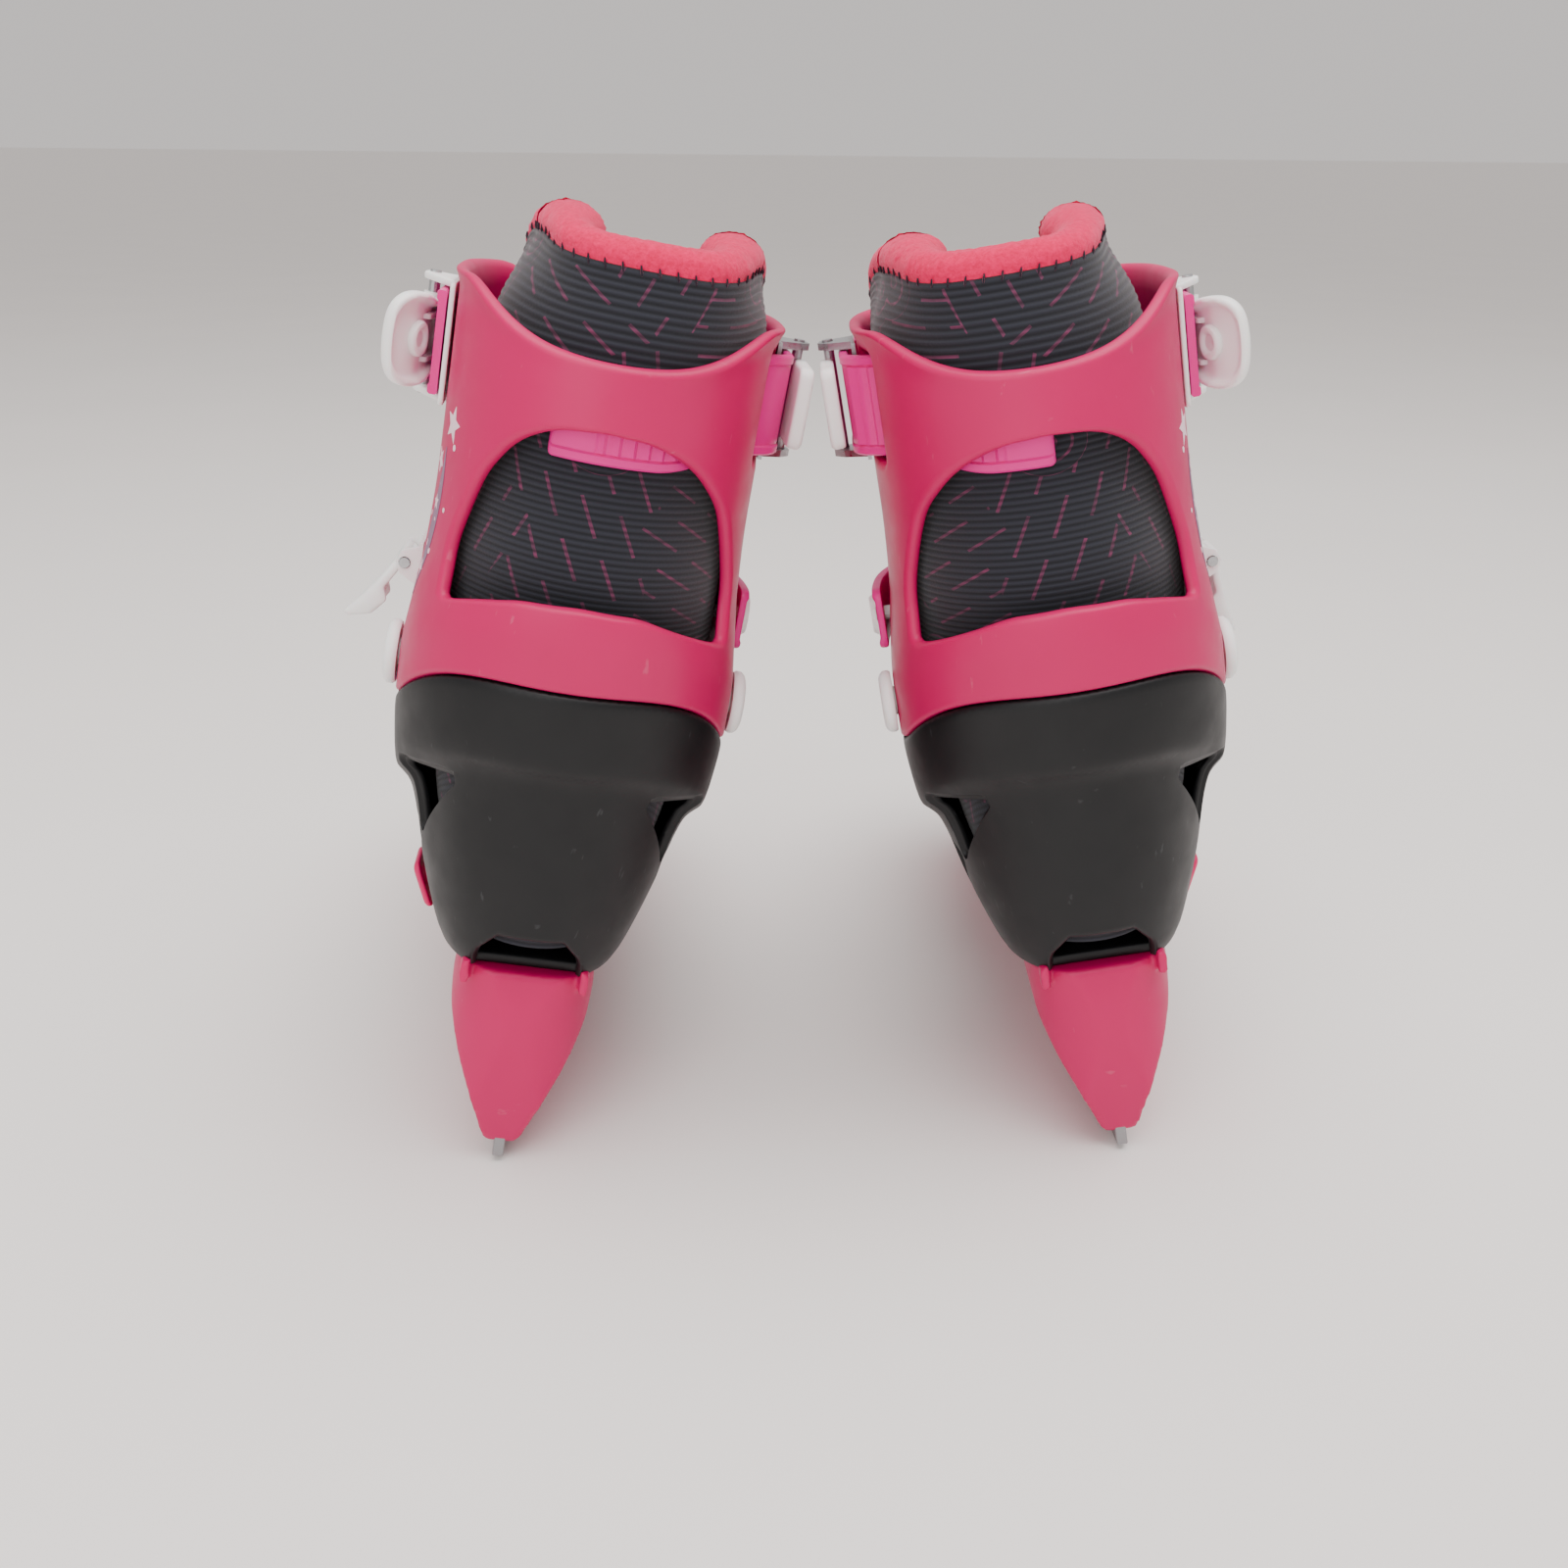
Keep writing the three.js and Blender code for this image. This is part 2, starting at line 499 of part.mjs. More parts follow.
function linerShaft() {
  const levels = levelsBetween(SHAFT, SHAFT[0].z, SHAFT_TOP);
  const outside = stack(SHAFT, levels, 0, shaftLift, FRONT_SQUARENESS);
  const inside = stack([{ ...SHAFT[0], z: 100 }, ...SHAFT.slice(1), { ...SHAFT.at(-1), z: 280 }],
    [100, 150, 168, 186, 220, 236, 280], LINER_WALL, level, FRONT_SQUARENESS);
  const tongueGap = box(-TONGUE.halfWidth - 0.7, TONGUE.halfWidth + 0.7, 50, 120, 100, 300);
  return cut(outside, inside, tongueGap);
}

function liningCollar() {
  const base = SHAFT.at(-1);
  const rows = [
    { grow: -2.5, up: 4 * SEAT }, { grow: -1, up: 3 }, { grow: -1.2, up: 6 }, { grow: -3.4, up: COLLAR.height },
  ];
  const ring = (extra) => solid(loft(rows.map(({ grow, up }, i) =>
    outline(base, -grow * (extra ? -1 : 1) + extra, FRONT_SQUARENESS)
      .map(([x, y]) => [x, y, linerTop(y) + up + (extra ? (i === 0 ? -3 : 0) + (i === 3 ? 3 : 0) : 0)]))));
  const gap = box(-TONGUE.halfWidth - 0.7, TONGUE.halfWidth + 0.7, 50, 120, 100, 300);
  return cut(ring(0), ring(COLLAR.width), gap);
}

function tongue() {
  const table = SHAFT.map((row) => ({ ...row, front: row.front + 1 }));
  const levels = [TONGUE.bottom, 150, 168, 191, 220, TONGUE.top];
  const outside = stack(table, levels, 0, level, FRONT_SQUARENESS);
  const inside = stack([{ ...table[0], z: 100 }, ...table.slice(1), { ...table.at(-1), z: 280 }],
    [100, 150, 168, 191, 220, 280], LINER_WALL + 2, level, FRONT_SQUARENESS);
  const keep = box(-TONGUE.halfWidth, TONGUE.halfWidth, 52, 120, 100, 300);
  return cut(outside, inside).intersect(keep);
}

function insole() {
  const floor = LINER_FLOOR + LINER_BASE + SEAT;
  return footForm(LINER_INSET + LINER_WALL + RUN, floor, floor + INSOLE_THICKNESS,
    COARSE_FORM, STRETCH_ROOM);
}

const STRAP_OFFSET = BUCKLE.standOff - KNUCKLE - SEAT - STRAP.thickness / 2;

const TAIL_OFFSET = -(CUFF_WALL + 1.5 + STRAP.thickness / 2);

/** Route of the ladder strap: outer side, round the front, inner buckle, then in through the cuff to the back. */
function cuffStrapPath(extraHeight, from = -4, to = 292, steps = 36) {
  const points = [];
  for (let i = 0; i <= steps; i++) {
    const angle = mix(from, to, i / steps);
    const inside = smooth((angle - 186) / 34);
    const offset = mix(STRAP_OFFSET, TAIL_OFFSET, inside);
    const z = STRAP.z - STRAP.tailDrop * smooth((angle - 200) / 50);
    const [x, y] = onCuff(STRAP.z, angle * DEGREE, offset);
    points.push([x, y, z, STRAP.width / 2 + extraHeight]);
  }
  return points;
}

const cuffStrap = () => ribbon(cuffStrapPath(0), STRAP.thickness);

const FLANK = 39.4; // the cuff's half width at both top buckles
const PLATE_X = FLANK + RUN;
const PIN_X = FLANK + BUCKLE.standOff;
const EAR_LOW = STRAP.z - STRAP.width / 2 - RUN - BUCKLE.ear;
const EAR_HIGH = STRAP.z + STRAP.width / 2 + RUN;

/** Channel that the strap lies in: a plate on the cuff and an ear above and below, drilled for the pin. */
function buckleBase(plate, length) {
  const [y0, y1] = [BUCKLE.y - length, BUCKLE.y + 3.2];
  const [low, high] = [EAR_LOW, EAR_HIGH + BUCKLE.ear];
  const ear = (z) => prism([
    [PLATE_X, y0 + 4], [PLATE_X, y1], [PIN_X + 2, y1], [PIN_X + 2.6, BUCKLE.y - 1], [PIN_X, BUCKLE.y - 5],
  ], z, z + BUCKLE.ear, "z");
  const hole = bar([PIN_X, BUCKLE.y, low - 5], [PIN_X, BUCKLE.y, high + 5], BUCKLE.pinRadius + 0.1);
  return cut(join(box(PLATE_X, PLATE_X + plate, y0, y1, low, high), ear(low), ear(EAR_HIGH)), hole);
}

function bucklePin() {
  const reach = EAR_HIGH + BUCKLE.ear + 0.5;
  return bar([PIN_X, BUCKLE.y, EAR_LOW - 0.5], [PIN_X, BUCKLE.y, reach], BUCKLE.pinRadius - 0.1);
}

const leverHole = () => bar([PIN_X, BUCKLE.y, 180], [PIN_X, BUCKLE.y, 240], BUCKLE.pinRadius + 0.1);

/** Flared thumb paddle of the outer cam lever, with a cam boss round its pin. */
function camLever() {
  const arm = ribbon([
    [1, 0, 9], [1, 5, 9.5], [1.4, 10, 10.6], [2.6, 14.5, 12], [5, 18.5, 12], [8.2, 21.4, 10.6],
    [10.6, 22.8, 8], [12, 23.4, 4.6],
  ].map(([out, back, half]) => [PIN_X + out, BUCKLE.y - back, STRAP.z, half]), LEVER.thickness);
  const knuckle = bar([PIN_X, BUCKLE.y, STRAP.z - 10], [PIN_X, BUCKLE.y, STRAP.z + 10], KNUCKLE);
  return cut(join(arm, knuckle), leverHole());
}

/** Flat release lever of the inner ratchet buckle, drawn on the outer side and mirrored by its caller. */
function ratchetLever() {
  const { plate, plateLength, plateHeight } = LEVER;
  const [x0, y0] = [PIN_X - 0.6, BUCKLE.y - plateLength];
  const body = prism([
    [x0, y0 + 1], [x0 + 1, y0], [x0 + plate, y0 + 0.6], [x0 + plate, BUCKLE.y + 1],
    [x0 + plate - 1, BUCKLE.y + 2], [x0, BUCKLE.y + 2],
  ], STRAP.z - plateHeight / 2, STRAP.z + plateHeight / 2, "z");
  const knuckle = bar([PIN_X, BUCKLE.y, STRAP.z - 10.4], [PIN_X, BUCKLE.y, STRAP.z + 10.4], KNUCKLE);
  return cut(join(body, knuckle), leverHole());
}

const INSTEP_PIN = { x: 46, y: 50, z: 153.5, half: 8.4 };

function instepBase() {
  const { x, y, z, half } = INSTEP_PIN;
  const plate = prism([[x - 4, z - 7], [x - 3, z - 7], [x - 3.4, z + 6], [x - 4.4, z + 6]],
    y - half + 0.6, y + half - 0.6, "y");
  const ear = (at) => prism([[x - 4, z - 6], [x + 1, z - 3], [x + 2.4, z], [x + 1, z + 3], [x - 4.2, z + 5]],
    at, at + 1.4, "y");
  const hole = bar([x, y - 12, z], [x, y + 12, z], BUCKLE.pinRadius + 0.1);
  return cut(join(plate, ear(y - half + 0.6), ear(y + half - 2)), hole);
}

function instepPin() {
  const { x, y, z, half } = INSTEP_PIN;
  return bar([x, y - half, z], [x, y + half, z], BUCKLE.pinRadius - 0.1);
}

/** Leaf-shaped lever that hangs from its pin; its tip points down when it is closed. */
function instepLever() {
  const { x, y, z } = INSTEP_PIN;
  const rows = [
    { drop: -2.2, out: 0.4, half: 5.6 }, { drop: 4, out: 1, half: 5.8 }, { drop: 10, out: 1.9, half: 5.6 },
    { drop: 16, out: 3.1, half: 4.4 }, { drop: 20, out: 4.2, half: 2.8 }, { drop: 22.4, out: 5, half: 1.2 },
  ];
  const t = LEVER.thickness / 2;
  const leaf = solid(loft(rows.map(({ drop, out, half }) => [
    [x + out - t, y + half, z - drop], [x + out + t, y + half, z - drop],
    [x + out + t, y - half, z - drop], [x + out - t, y - half, z - drop],
  ])));
  const knuckle = bar([x, y - 5.6, z], [x, y + 5.6, z], KNUCKLE);
  return cut(join(leaf, knuckle), bar([x, y - 12, z], [x, y + 12, z], BUCKLE.pinRadius + 0.1));
}

const anchorHole = () =>
  bar([-60, INSTEP_PIN.y, INSTEP.z], [-20, INSTEP_PIN.y, INSTEP.z], ANCHOR.shank + SEAT);
const INSTEP_OFFSET = 2.4;
const ANCHOR = { inner: 35.8, outer: 45.2, shank: 2, head: 5, cap: 6, thickness: 1.4 };

function instepStrap() {
  const points = [];
  for (let i = 0; i <= 16; i++) {
    const angle = mix(40, 168, i / 16);
    const [x, y] = onCuff(INSTEP.z, angle * DEGREE, INSTEP_OFFSET);
    points.push([x, y, INSTEP.z, INSTEP.width / 2]);
  }
  return cut(ribbon(points, INSTEP.thickness), anchorHole());
}

function instepAnchor() {
  const { inner, outer, shank, head, cap, thickness } = ANCHOR;
  return turned([
    [inner - thickness, 0], [inner - thickness, head], [inner, head], [inner, shank], [outer, shank],
    [outer, cap], [outer + thickness, cap - 1], [outer + thickness, 0],
  ], INSTEP_PIN.y, INSTEP.z, 12).mirror([1, 0, 0]);
}

const sizeButton = () => buttonPrism(0, -BUTTON.depth + BUTTON.proud, BUTTON.proud);

function bladeBolt({ y, z }) {
  const end = BOLT_SEAT + BOLT_HEAD_HEIGHT;
  return turned([[-end, 0], [-end, BOLT_HEAD], [-BOLT_SEAT, BOLT_HEAD], [-BOLT_SEAT, BOLT_RADIUS],
    [BOLT_SEAT, BOLT_RADIUS], [BOLT_SEAT, BOLT_HEAD], [end, BOLT_HEAD], [end, 0]], y, z, 10);
}

function soleBolt({ y }) {
  const { radius, head, depth, headHeight } = SOLE_BOLT;
  const seat = FORM[0].z + SOLE + SEAT;
  const profile = [[-depth, 0], [-depth, radius], [seat - HOLDER.top, radius], [seat - HOLDER.top, head],
    [seat - HOLDER.top + headHeight, head], [seat - HOLDER.top + headHeight, 0]];
  const geometry = new THREE.LatheGeometry(profile.map(([z, r]) => new THREE.Vector2(r, z)), 10);
  return solid(geometry.rotateX(Math.PI / 2).translate(0, y, HOLDER.top));
}

/** One skate, upright, with its moving bodies as groups whose origins are on their axes. */
function skate(prefix, leverOpen) {
  const name = (text) => `${prefix}_${text}`;
  const whole = new THREE.Group();
  const body = (parent, x, y, z) => {
    const group = new THREE.Group();
    group.position.set(x, y, z).sub(parent.userData.at ?? new THREE.Vector3());
    group.userData.at = new THREE.Vector3(x, y, z);
    parent.add(group);
    return group;
  };
  const put = (group, text, shape, colour) => {
    group.add(piece(name(text), shape, colour, group.userData.at?.toArray()));
  };
  const shell = body(whole, 0, 0, 0);
  put(shell, "blade", blade(), "steel");
  put(shell, "blade_holder", bladeHolder(), "pink");
  BLADE_BOLTS.forEach((bolt) => put(shell, `blade_bolt_${bolt.name}`, bladeBolt(bolt), "zinc"));
  SOLE_BOLTS.forEach((bolt) => put(shell, `holder_bolt_${bolt.name}`, soleBolt(bolt), "zinc"));
  put(shell, "heel_shell", heelShell(), "black");
  put(shell, "ankle_rivet_outer", ankleRivet(1), "white");
  put(shell, "ankle_rivet_inner", ankleRivet(-1), "white");
  put(shell, "liner_foot", linerFoot(), "cloth");
  put(shell, "insole", insole(), "foam");
  put(body(shell, 0, 0, 0), "toe_shell", toeShell(), "black");
  put(body(shell, 0, BUTTON.y, BUTTON.z), "size_button", sizeButton(), "magenta");

  const ankle = body(shell, 0, PIVOT.y, PIVOT.z);
  put(ankle, "cuff", cuff(), "pink");
  put(ankle, "liner_shaft", linerShaft(), "cloth");
  put(ankle, "lining_collar", liningCollar(), "fleece");
  put(ankle, "tongue", tongue(), "cloth");
  put(ankle, "cuff_strap", cuffStrap(), "magenta");
  put(ankle, "cam_base", buckleBase(1.2, 19), "white");
  put(ankle, "cam_pin", bucklePin(), "zinc");
  put(ankle, "ratchet_frame", buckleBase(BUCKLE.steel, 14).mirror([1, 0, 0]), "steel");
  put(ankle, "ratchet_pin", bucklePin().mirror([1, 0, 0]), "zinc");
  put(ankle, "instep_strap", instepStrap(), "magenta");
  put(ankle, "instep_base", instepBase(), "white");
  put(ankle, "instep_pin", instepPin(), "zinc");
  put(ankle, "instep_anchor", instepAnchor(), "white");

  put(body(ankle, PIN_X, BUCKLE.y, STRAP.z), "cam_lever", camLever(), "white");
  put(body(ankle, -PIN_X, BUCKLE.y, STRAP.z), "ratchet_lever", ratchetLever().mirror([1, 0, 0]), "white");
  const instep = body(ankle, INSTEP_PIN.x, INSTEP_PIN.y, INSTEP_PIN.z);
  put(instep, "instep_lever", instepLever(), "white");
  instep.rotation.y = -leverOpen;
  return whole;
}

// ---- The pair ----
const LEFT_LEVER_OPEN = 24 * DEGREE;

/** Leans a skate on its blade's inner edge and turns its toe out. */
function stand(prefix, leverOpen) {
  const leaning = skate(prefix, leverOpen);
  leaning.rotation.y = -LEAN;
  const turnedOut = new THREE.Group();
  turnedOut.add(leaning);
  turnedOut.rotation.z = -TOE_OUT;
  turnedOut.updateMatrixWorld(true);
  const bounds = new THREE.Box3().setFromObject(turnedOut, true);
  turnedOut.position.set(SEAT / 2 - bounds.min.x, 0, -bounds.min.z);
  return turnedOut;
}

const pair = new THREE.Group();
pair.add(stand("right", 0));
const left = new THREE.Group();
left.add(stand("left", LEFT_LEVER_OPEN));
left.scale.x = -1;
pair.add(left);
pair.updateMatrixWorld(true);
const whole = new THREE.Box3().setFromObject(pair, true);
const middle = whole.getCenter(new THREE.Vector3());
pair.position.set(-middle.x, -middle.y, -whole.min.z);

export default pair;
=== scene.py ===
"""A child's pair of hard-shell ice skates, standing on their blades and leaning together.

Sizes are millimetres in each skate's own upright frame: x to its outer side, y to its toe and z up from the
ice. SkateFrame turns them into metres in the shared frame, from the axes of the skate's own joints.
"""
import json
import logging
import math
from collections.abc import Callable
from dataclasses import dataclass, field
from enum import Enum

import bmesh
import bpy
import numpy as np
from mathutils import Euler, Matrix, Vector
from mathutils.geometry import delaunay_2d_cdt


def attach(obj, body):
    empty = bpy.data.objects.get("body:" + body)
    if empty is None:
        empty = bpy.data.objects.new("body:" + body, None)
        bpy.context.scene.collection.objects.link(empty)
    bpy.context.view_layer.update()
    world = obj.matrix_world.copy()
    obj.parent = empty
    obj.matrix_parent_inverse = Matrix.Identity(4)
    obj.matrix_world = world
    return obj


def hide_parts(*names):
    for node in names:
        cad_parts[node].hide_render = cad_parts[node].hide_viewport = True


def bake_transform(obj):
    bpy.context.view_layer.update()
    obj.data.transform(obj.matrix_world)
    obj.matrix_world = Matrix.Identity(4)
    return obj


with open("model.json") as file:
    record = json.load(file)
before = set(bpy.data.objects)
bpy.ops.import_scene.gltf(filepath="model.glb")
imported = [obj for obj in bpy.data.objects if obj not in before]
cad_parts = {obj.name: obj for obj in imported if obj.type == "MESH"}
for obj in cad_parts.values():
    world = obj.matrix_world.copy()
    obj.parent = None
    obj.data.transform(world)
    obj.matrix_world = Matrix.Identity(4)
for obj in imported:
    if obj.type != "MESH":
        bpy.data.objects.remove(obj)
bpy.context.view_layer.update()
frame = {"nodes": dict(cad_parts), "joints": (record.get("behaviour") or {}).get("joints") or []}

LOG = logging.getLogger("skates")
Array = np.ndarray
Place = Callable[[Array, Array, Array], Array]
MM = 0.001


# ---- Numbers and outlines ----
def smooth(t: Array | float) -> Array:
    """Eased step from 0 to 1."""
    s = np.clip(t, 0.0, 1.0)
    return s * s * (3.0 - 2.0 * s)


def mix(a: Array | float, b: Array | float, t: Array | float) -> Array:
    """Straight mix of two values."""
    return a + (b - a) * t


def through(heights: Array, values: Array, z: Array) -> Array:
    """Reads a curve through points without overshooting them.

    Args:
        heights: Rising places of the points.
        values: Their values.
        z: Where to read the curve.

    Returns:
        The curve's values at z.
    """
    gaps = np.diff(heights)
    slopes = np.diff(values) / gaps
    tangents = np.concatenate([slopes[:1], np.zeros(len(slopes) - 1), slopes[-1:]])
    before, after = slopes[:-1], slopes[1:]
    same = before * after > 0
    total = np.where(same, before + after, 1.0)
    tangents[1:-1] = np.where(same, 2 * before * after / total, 0.0)
    i = np.clip(np.searchsorted(heights, z) - 1, 0, len(gaps) - 1)
    t = np.clip((z - heights[i]) / gaps[i], 0.0, 1.0)
    ease = smooth(t)
    start = values[i] + 0 * t
    lean = gaps[i] * (t * (1 - t) ** 2 * tangents[i] - t * t * (1 - t) * tangents[i + 1])
    return start + (values[i + 1] - values[i]) * ease + lean


@dataclass(frozen=True)
class Row:
    """One level outline: heel, half width, where the sides start, toe, and the ball of the foot."""

    z: float
    rear: float
    half: float
    centre: float
    front: float
    ball: float = 0.0
    ball_y: float = 0.0

    def values(self) -> tuple[float, ...]:
        """Sizes in order, with the ball at the heel's half width where none is given."""
        ball = self.ball or self.half
        ball_y = self.ball_y or self.centre
        return (self.z, self.rear, self.half, self.centre, self.front, ball, ball_y)

    def drawn_in(self, inset: float, stretch: float = 0.0) -> "Row":
        """The same outline drawn in all round, and by stretch more at the ball."""
        z, rear, half, centre, front, ball, ball_y = self.values()
        return Row(z, rear + inset, half - inset, centre, front - inset, ball - inset - stretch, ball_y)


@dataclass(frozen=True)
class Form:
    """Surface with a level outline at each height, read by run round it and height.

    Runs start at the middle of the heel and are positive to the outer side.
    """

    rows: tuple[Row, ...]
    squareness: tuple[float, float] = (2.2, 2.2)
    square_heights: tuple[float, float] = (0.0, 1.0)
    heel_run: float = 62.0
    side_run: float = 134.0
    toe_run: float = 60.0

    @property
    def end(self) -> float:
        """Run at the middle of the toe."""
        return self.heel_run + self.side_run + self.toe_run

    def sizes(self, z: Array) -> list[Array]:
        """Rear, half, centre, front, ball and ball_y at each height."""
        table = np.array([row.values() for row in self.rows])
        return [through(table[:, 0], table[:, k], z) for k in range(1, 7)]

    def point(self, run: Array, z: Array, inset: Array | float = 0.0) -> tuple[Array, Array]:
        """Where a run comes on the outline of a height.

        Args:
            run: Distance round from the heel, signed.
            z: Height of the outline.
            inset: How far the outline is drawn in.

        Returns:
            Its x and y.
        """
        rear, half, centre, front, ball, ball_y = self.sizes(z)
        along = np.abs(run)
        turn = np.clip(along / self.heel_run, 0, 1) * math.pi / 2
        x = (half - inset) * np.sin(turn)
        y = centre - (centre - rear - inset) * np.cos(turn)
        t = np.clip((along - self.heel_run) / max(self.side_run, 1e-6), 0, 1)
        on_side = along > self.heel_run
        x = np.where(on_side, mix(half, ball, smooth(t)) - inset, x)
        y = np.where(on_side, mix(centre, ball_y, t), y)
        turn = np.clip((along - self.heel_run - self.side_run) / self.toe_run, 0, 1) * math.pi / 2
        low, high = self.square_heights
        power = mix(*self.squareness, smooth((z - low) / (high - low)))
        reach = (np.cos(turn) ** power + np.sin(turn) ** power) ** (-1 / power)
        on_toe = along > self.heel_run + self.side_run
        x = np.where(on_toe, (ball - inset) * np.cos(turn) * reach, x)
        y = np.where(on_toe, ball_y + (front - ball_y - inset) * np.sin(turn) * reach, y)
        return x * np.sign(run), y

    def run_at_y(self, y: Array, z: Array) -> Array:
        """Run on the outer side where the outline has this y."""
        low, high = np.zeros_like(z), np.full_like(z, self.end)
        for _ in range(40):
            middle = (low + high) / 2
            ahead = self.point(middle, z)[1] > y
            low, high = np.where(ahead, low, middle), np.where(ahead, middle, high)
        return low

    def run_at_x(self, x: Array, z: Array) -> Array:
        """Run on the front of the outer side where the outline has this x."""
        low = np.full_like(z, self.heel_run + self.side_run)
        high = np.full_like(z, self.end)
        for _ in range(40):
            middle = (low + high) / 2
            wide = self.point(middle, z)[0] > x
            low, high = np.where(wide, middle, low), np.where(wide, high, middle)
        return low

    def run_behind(self, x: Array, z: Array) -> Array:
        """Run on the heel where the outline has this x."""
        half = self.sizes(z)[1]
        return np.arcsin(np.clip(x / half, -1, 1)) * 2 / math.pi * self.heel_run


# ---- Shapes ----
@dataclass
class Shape:
    """Points in millimetres and faces over them, with a finish number and cloth coordinates."""

    points: Array
    faces: list[tuple[int, ...]]
    finish: list[int] = field(default_factory=list)
    cloth: Array | None = None

    def __post_init__(self) -> None:
        """Gives every face the first finish where none is named."""
        if not self.finish:
            self.finish = [0] * len(self.faces)

    def joined(self, *others: "Shape") -> "Shape":
        """This shape and others as one."""
        whole = self
        for other in others:
            shift = len(whole.points)
            faces = [tuple(i + shift for i in f) for f in other.faces]
            whole = Shape(
                np.vstack([whole.points, other.points]), whole.faces + faces, whole.finish + other.finish)
        return whole


def loft(rings: list[Array], closed: bool = True) -> Shape:
    """Skin through matching rings, capped at both ends.

    Args:
        rings: Rings of points, each as long as the others.
        closed: Whether the ends are capped.

    Returns:
        The skin.
    """
    count = len(rings[0])
    faces = []
    for r in range(len(rings) - 1):
        for i in range(count):
            j = (i + 1) % count
            faces.append((r * count + i, r * count + j, (r + 1) * count + j, (r + 1) * count + i))
    if closed:
        faces.append(tuple(range(count)))
        faces.append(tuple(range((len(rings) - 1) * count, len(rings) * count)))
    return Shape(np.vstack(rings), faces)


def prism(loop: Array, low: float, high: float, order: tuple[int, int, int]) -> Shape:
    """Loop pushed along an axis.

    Args:
        loop: Points in the plane of the prism's ends.
        low: Where the prism starts.
        high: Where it ends.
        order: Which of (first, second, along) is x, y and z.

    Returns:
        The prism.
    """
    rings = []
    for level in (low, high):
        ring = np.column_stack([loop, np.full(len(loop), level)])
        rings.append(ring[:, list(order)])
    return loft(rings)


def turned(profile: list[tuple[float, float]], at: Array, sides: int = 48) -> Shape:
    """Piece turned about an axis along x.

    Args:
        profile: (x, radius) pairs from one end to the other, neither end at radius 0.
        at: Point on the axis; x is added to the profile's.
        sides: Number of sides.

    Returns:
        The turned piece.
    """
    turns = np.arange(sides) * 2 * math.pi / sides
    rings = [np.stack([np.full(sides, x), r * np.cos(turns), r * np.sin(turns)], 1) + at for x, r in profile]
    return loft(rings)


def lengths_along(path: Array) -> Array:
    """Distance from the start of a path to each of its points."""
    return np.concatenate([[0], np.cumsum(np.linalg.norm(np.diff(path, axis=0), axis=1))])


def read_path(path: Array, at: Array, step: float) -> tuple[list[Array], list[Array]]:
    """Reads a path in a plane at distances from its start.

    Args:
        path: Its points.
        at: The distances.
        step: Half the length over which its direction is taken.

    Returns:
        The point's two coordinates and the direction's two.
    """
    lengths = lengths_along(path)
    total = float(lengths[-1])
    here = np.clip(at, 0, total)
    low, high = np.clip(here - step, 0, total), np.clip(here + step, 0, total)
    sides = (path[:, 0], path[:, 1])
    point = [through(lengths, side, here) for side in sides]
    way = [(through(lengths, side, high) - through(lengths, side, low)) / (high - low) for side in sides]
    return point, way


def resampled(loop: Array, step: float) -> Array:
    """Closed line with points about step apart."""
    around = np.vstack([loop, loop[:1]])
    lengths = lengths_along(around)
    count = max(8, int(round(lengths[-1] / step)))
    at = np.arange(count) * lengths[-1] / count
    return np.stack([np.interp(at, lengths, around[:, 0]), np.interp(at, lengths, around[:, 1])], 1)


def softened(corners: list[tuple[float, float]], radius: float | list[float], step: float) -> Array:
    """Closed line through corners that are rounded.

    Args:
        corners: The corners in order.
        radius: How far from its corner each curve starts, for all or for each.
        step: Distance between points.

    Returns:
        The line's points.
    """
    points = np.array(corners, float)
    reaches = np.broadcast_to(np.array(radius, float), len(points))
    line = []
    for i, corner in enumerate(points):
        before, after = points[i - 1] - corner, points[(i + 1) % len(points)] - corner
        start = corner + before * min(0.48, reaches[i] / np.linalg.norm(before))
        end = corner + after * min(0.48, reaches[i] / np.linalg.norm(after))
        for t in np.linspace(0, 1, 9):
            line.append((1 - t) ** 2 * start + 2 * t * (1 - t) * corner + t * t * end)
    return resampled(np.array(line), step)


def wound(loop: Array, hole: bool) -> Array:
    """The loop anticlockwise, or clockwise for a hole."""
    x, y = loop[:, 0], loop[:, 1]
    area = np.sum(x * np.roll(y, -1) - np.roll(x, -1) * y)
    return loop[::-1] if (area > 0) == hole else loop


def drawn_in(loop: Array, inset: float) -> Array:
    """Wound loop moved into the material on its left."""
    along = np.roll(loop, -1, 0) - np.roll(loop, 1, 0)
    along /= np.maximum(np.linalg.norm(along, axis=1, keepdims=True), 1e-9)
    return loop + np.stack([-along[:, 1], along[:, 0]], 1) * inset


def inside(points: Array, loops: list[Array]) -> Array:
    """Whether each point is in the region that the loops bound."""
    crossed = np.zeros(len(points), bool)
    px, py = points[:, 0:1], points[:, 1:2]
    for loop in loops:
        a, b = loop, np.roll(loop, -1, 0)
        spans = (a[:, 1] > py) != (b[:, 1] > py)
        rise = np.where(b[:, 1] == a[:, 1], 1e-12, b[:, 1] - a[:, 1])
        x = a[:, 0] + (py - a[:, 1]) / rise * (b[:, 0] - a[:, 0])
        crossed ^= (np.sum(spans & (px < x), axis=1) % 2).astype(bool)
    return crossed


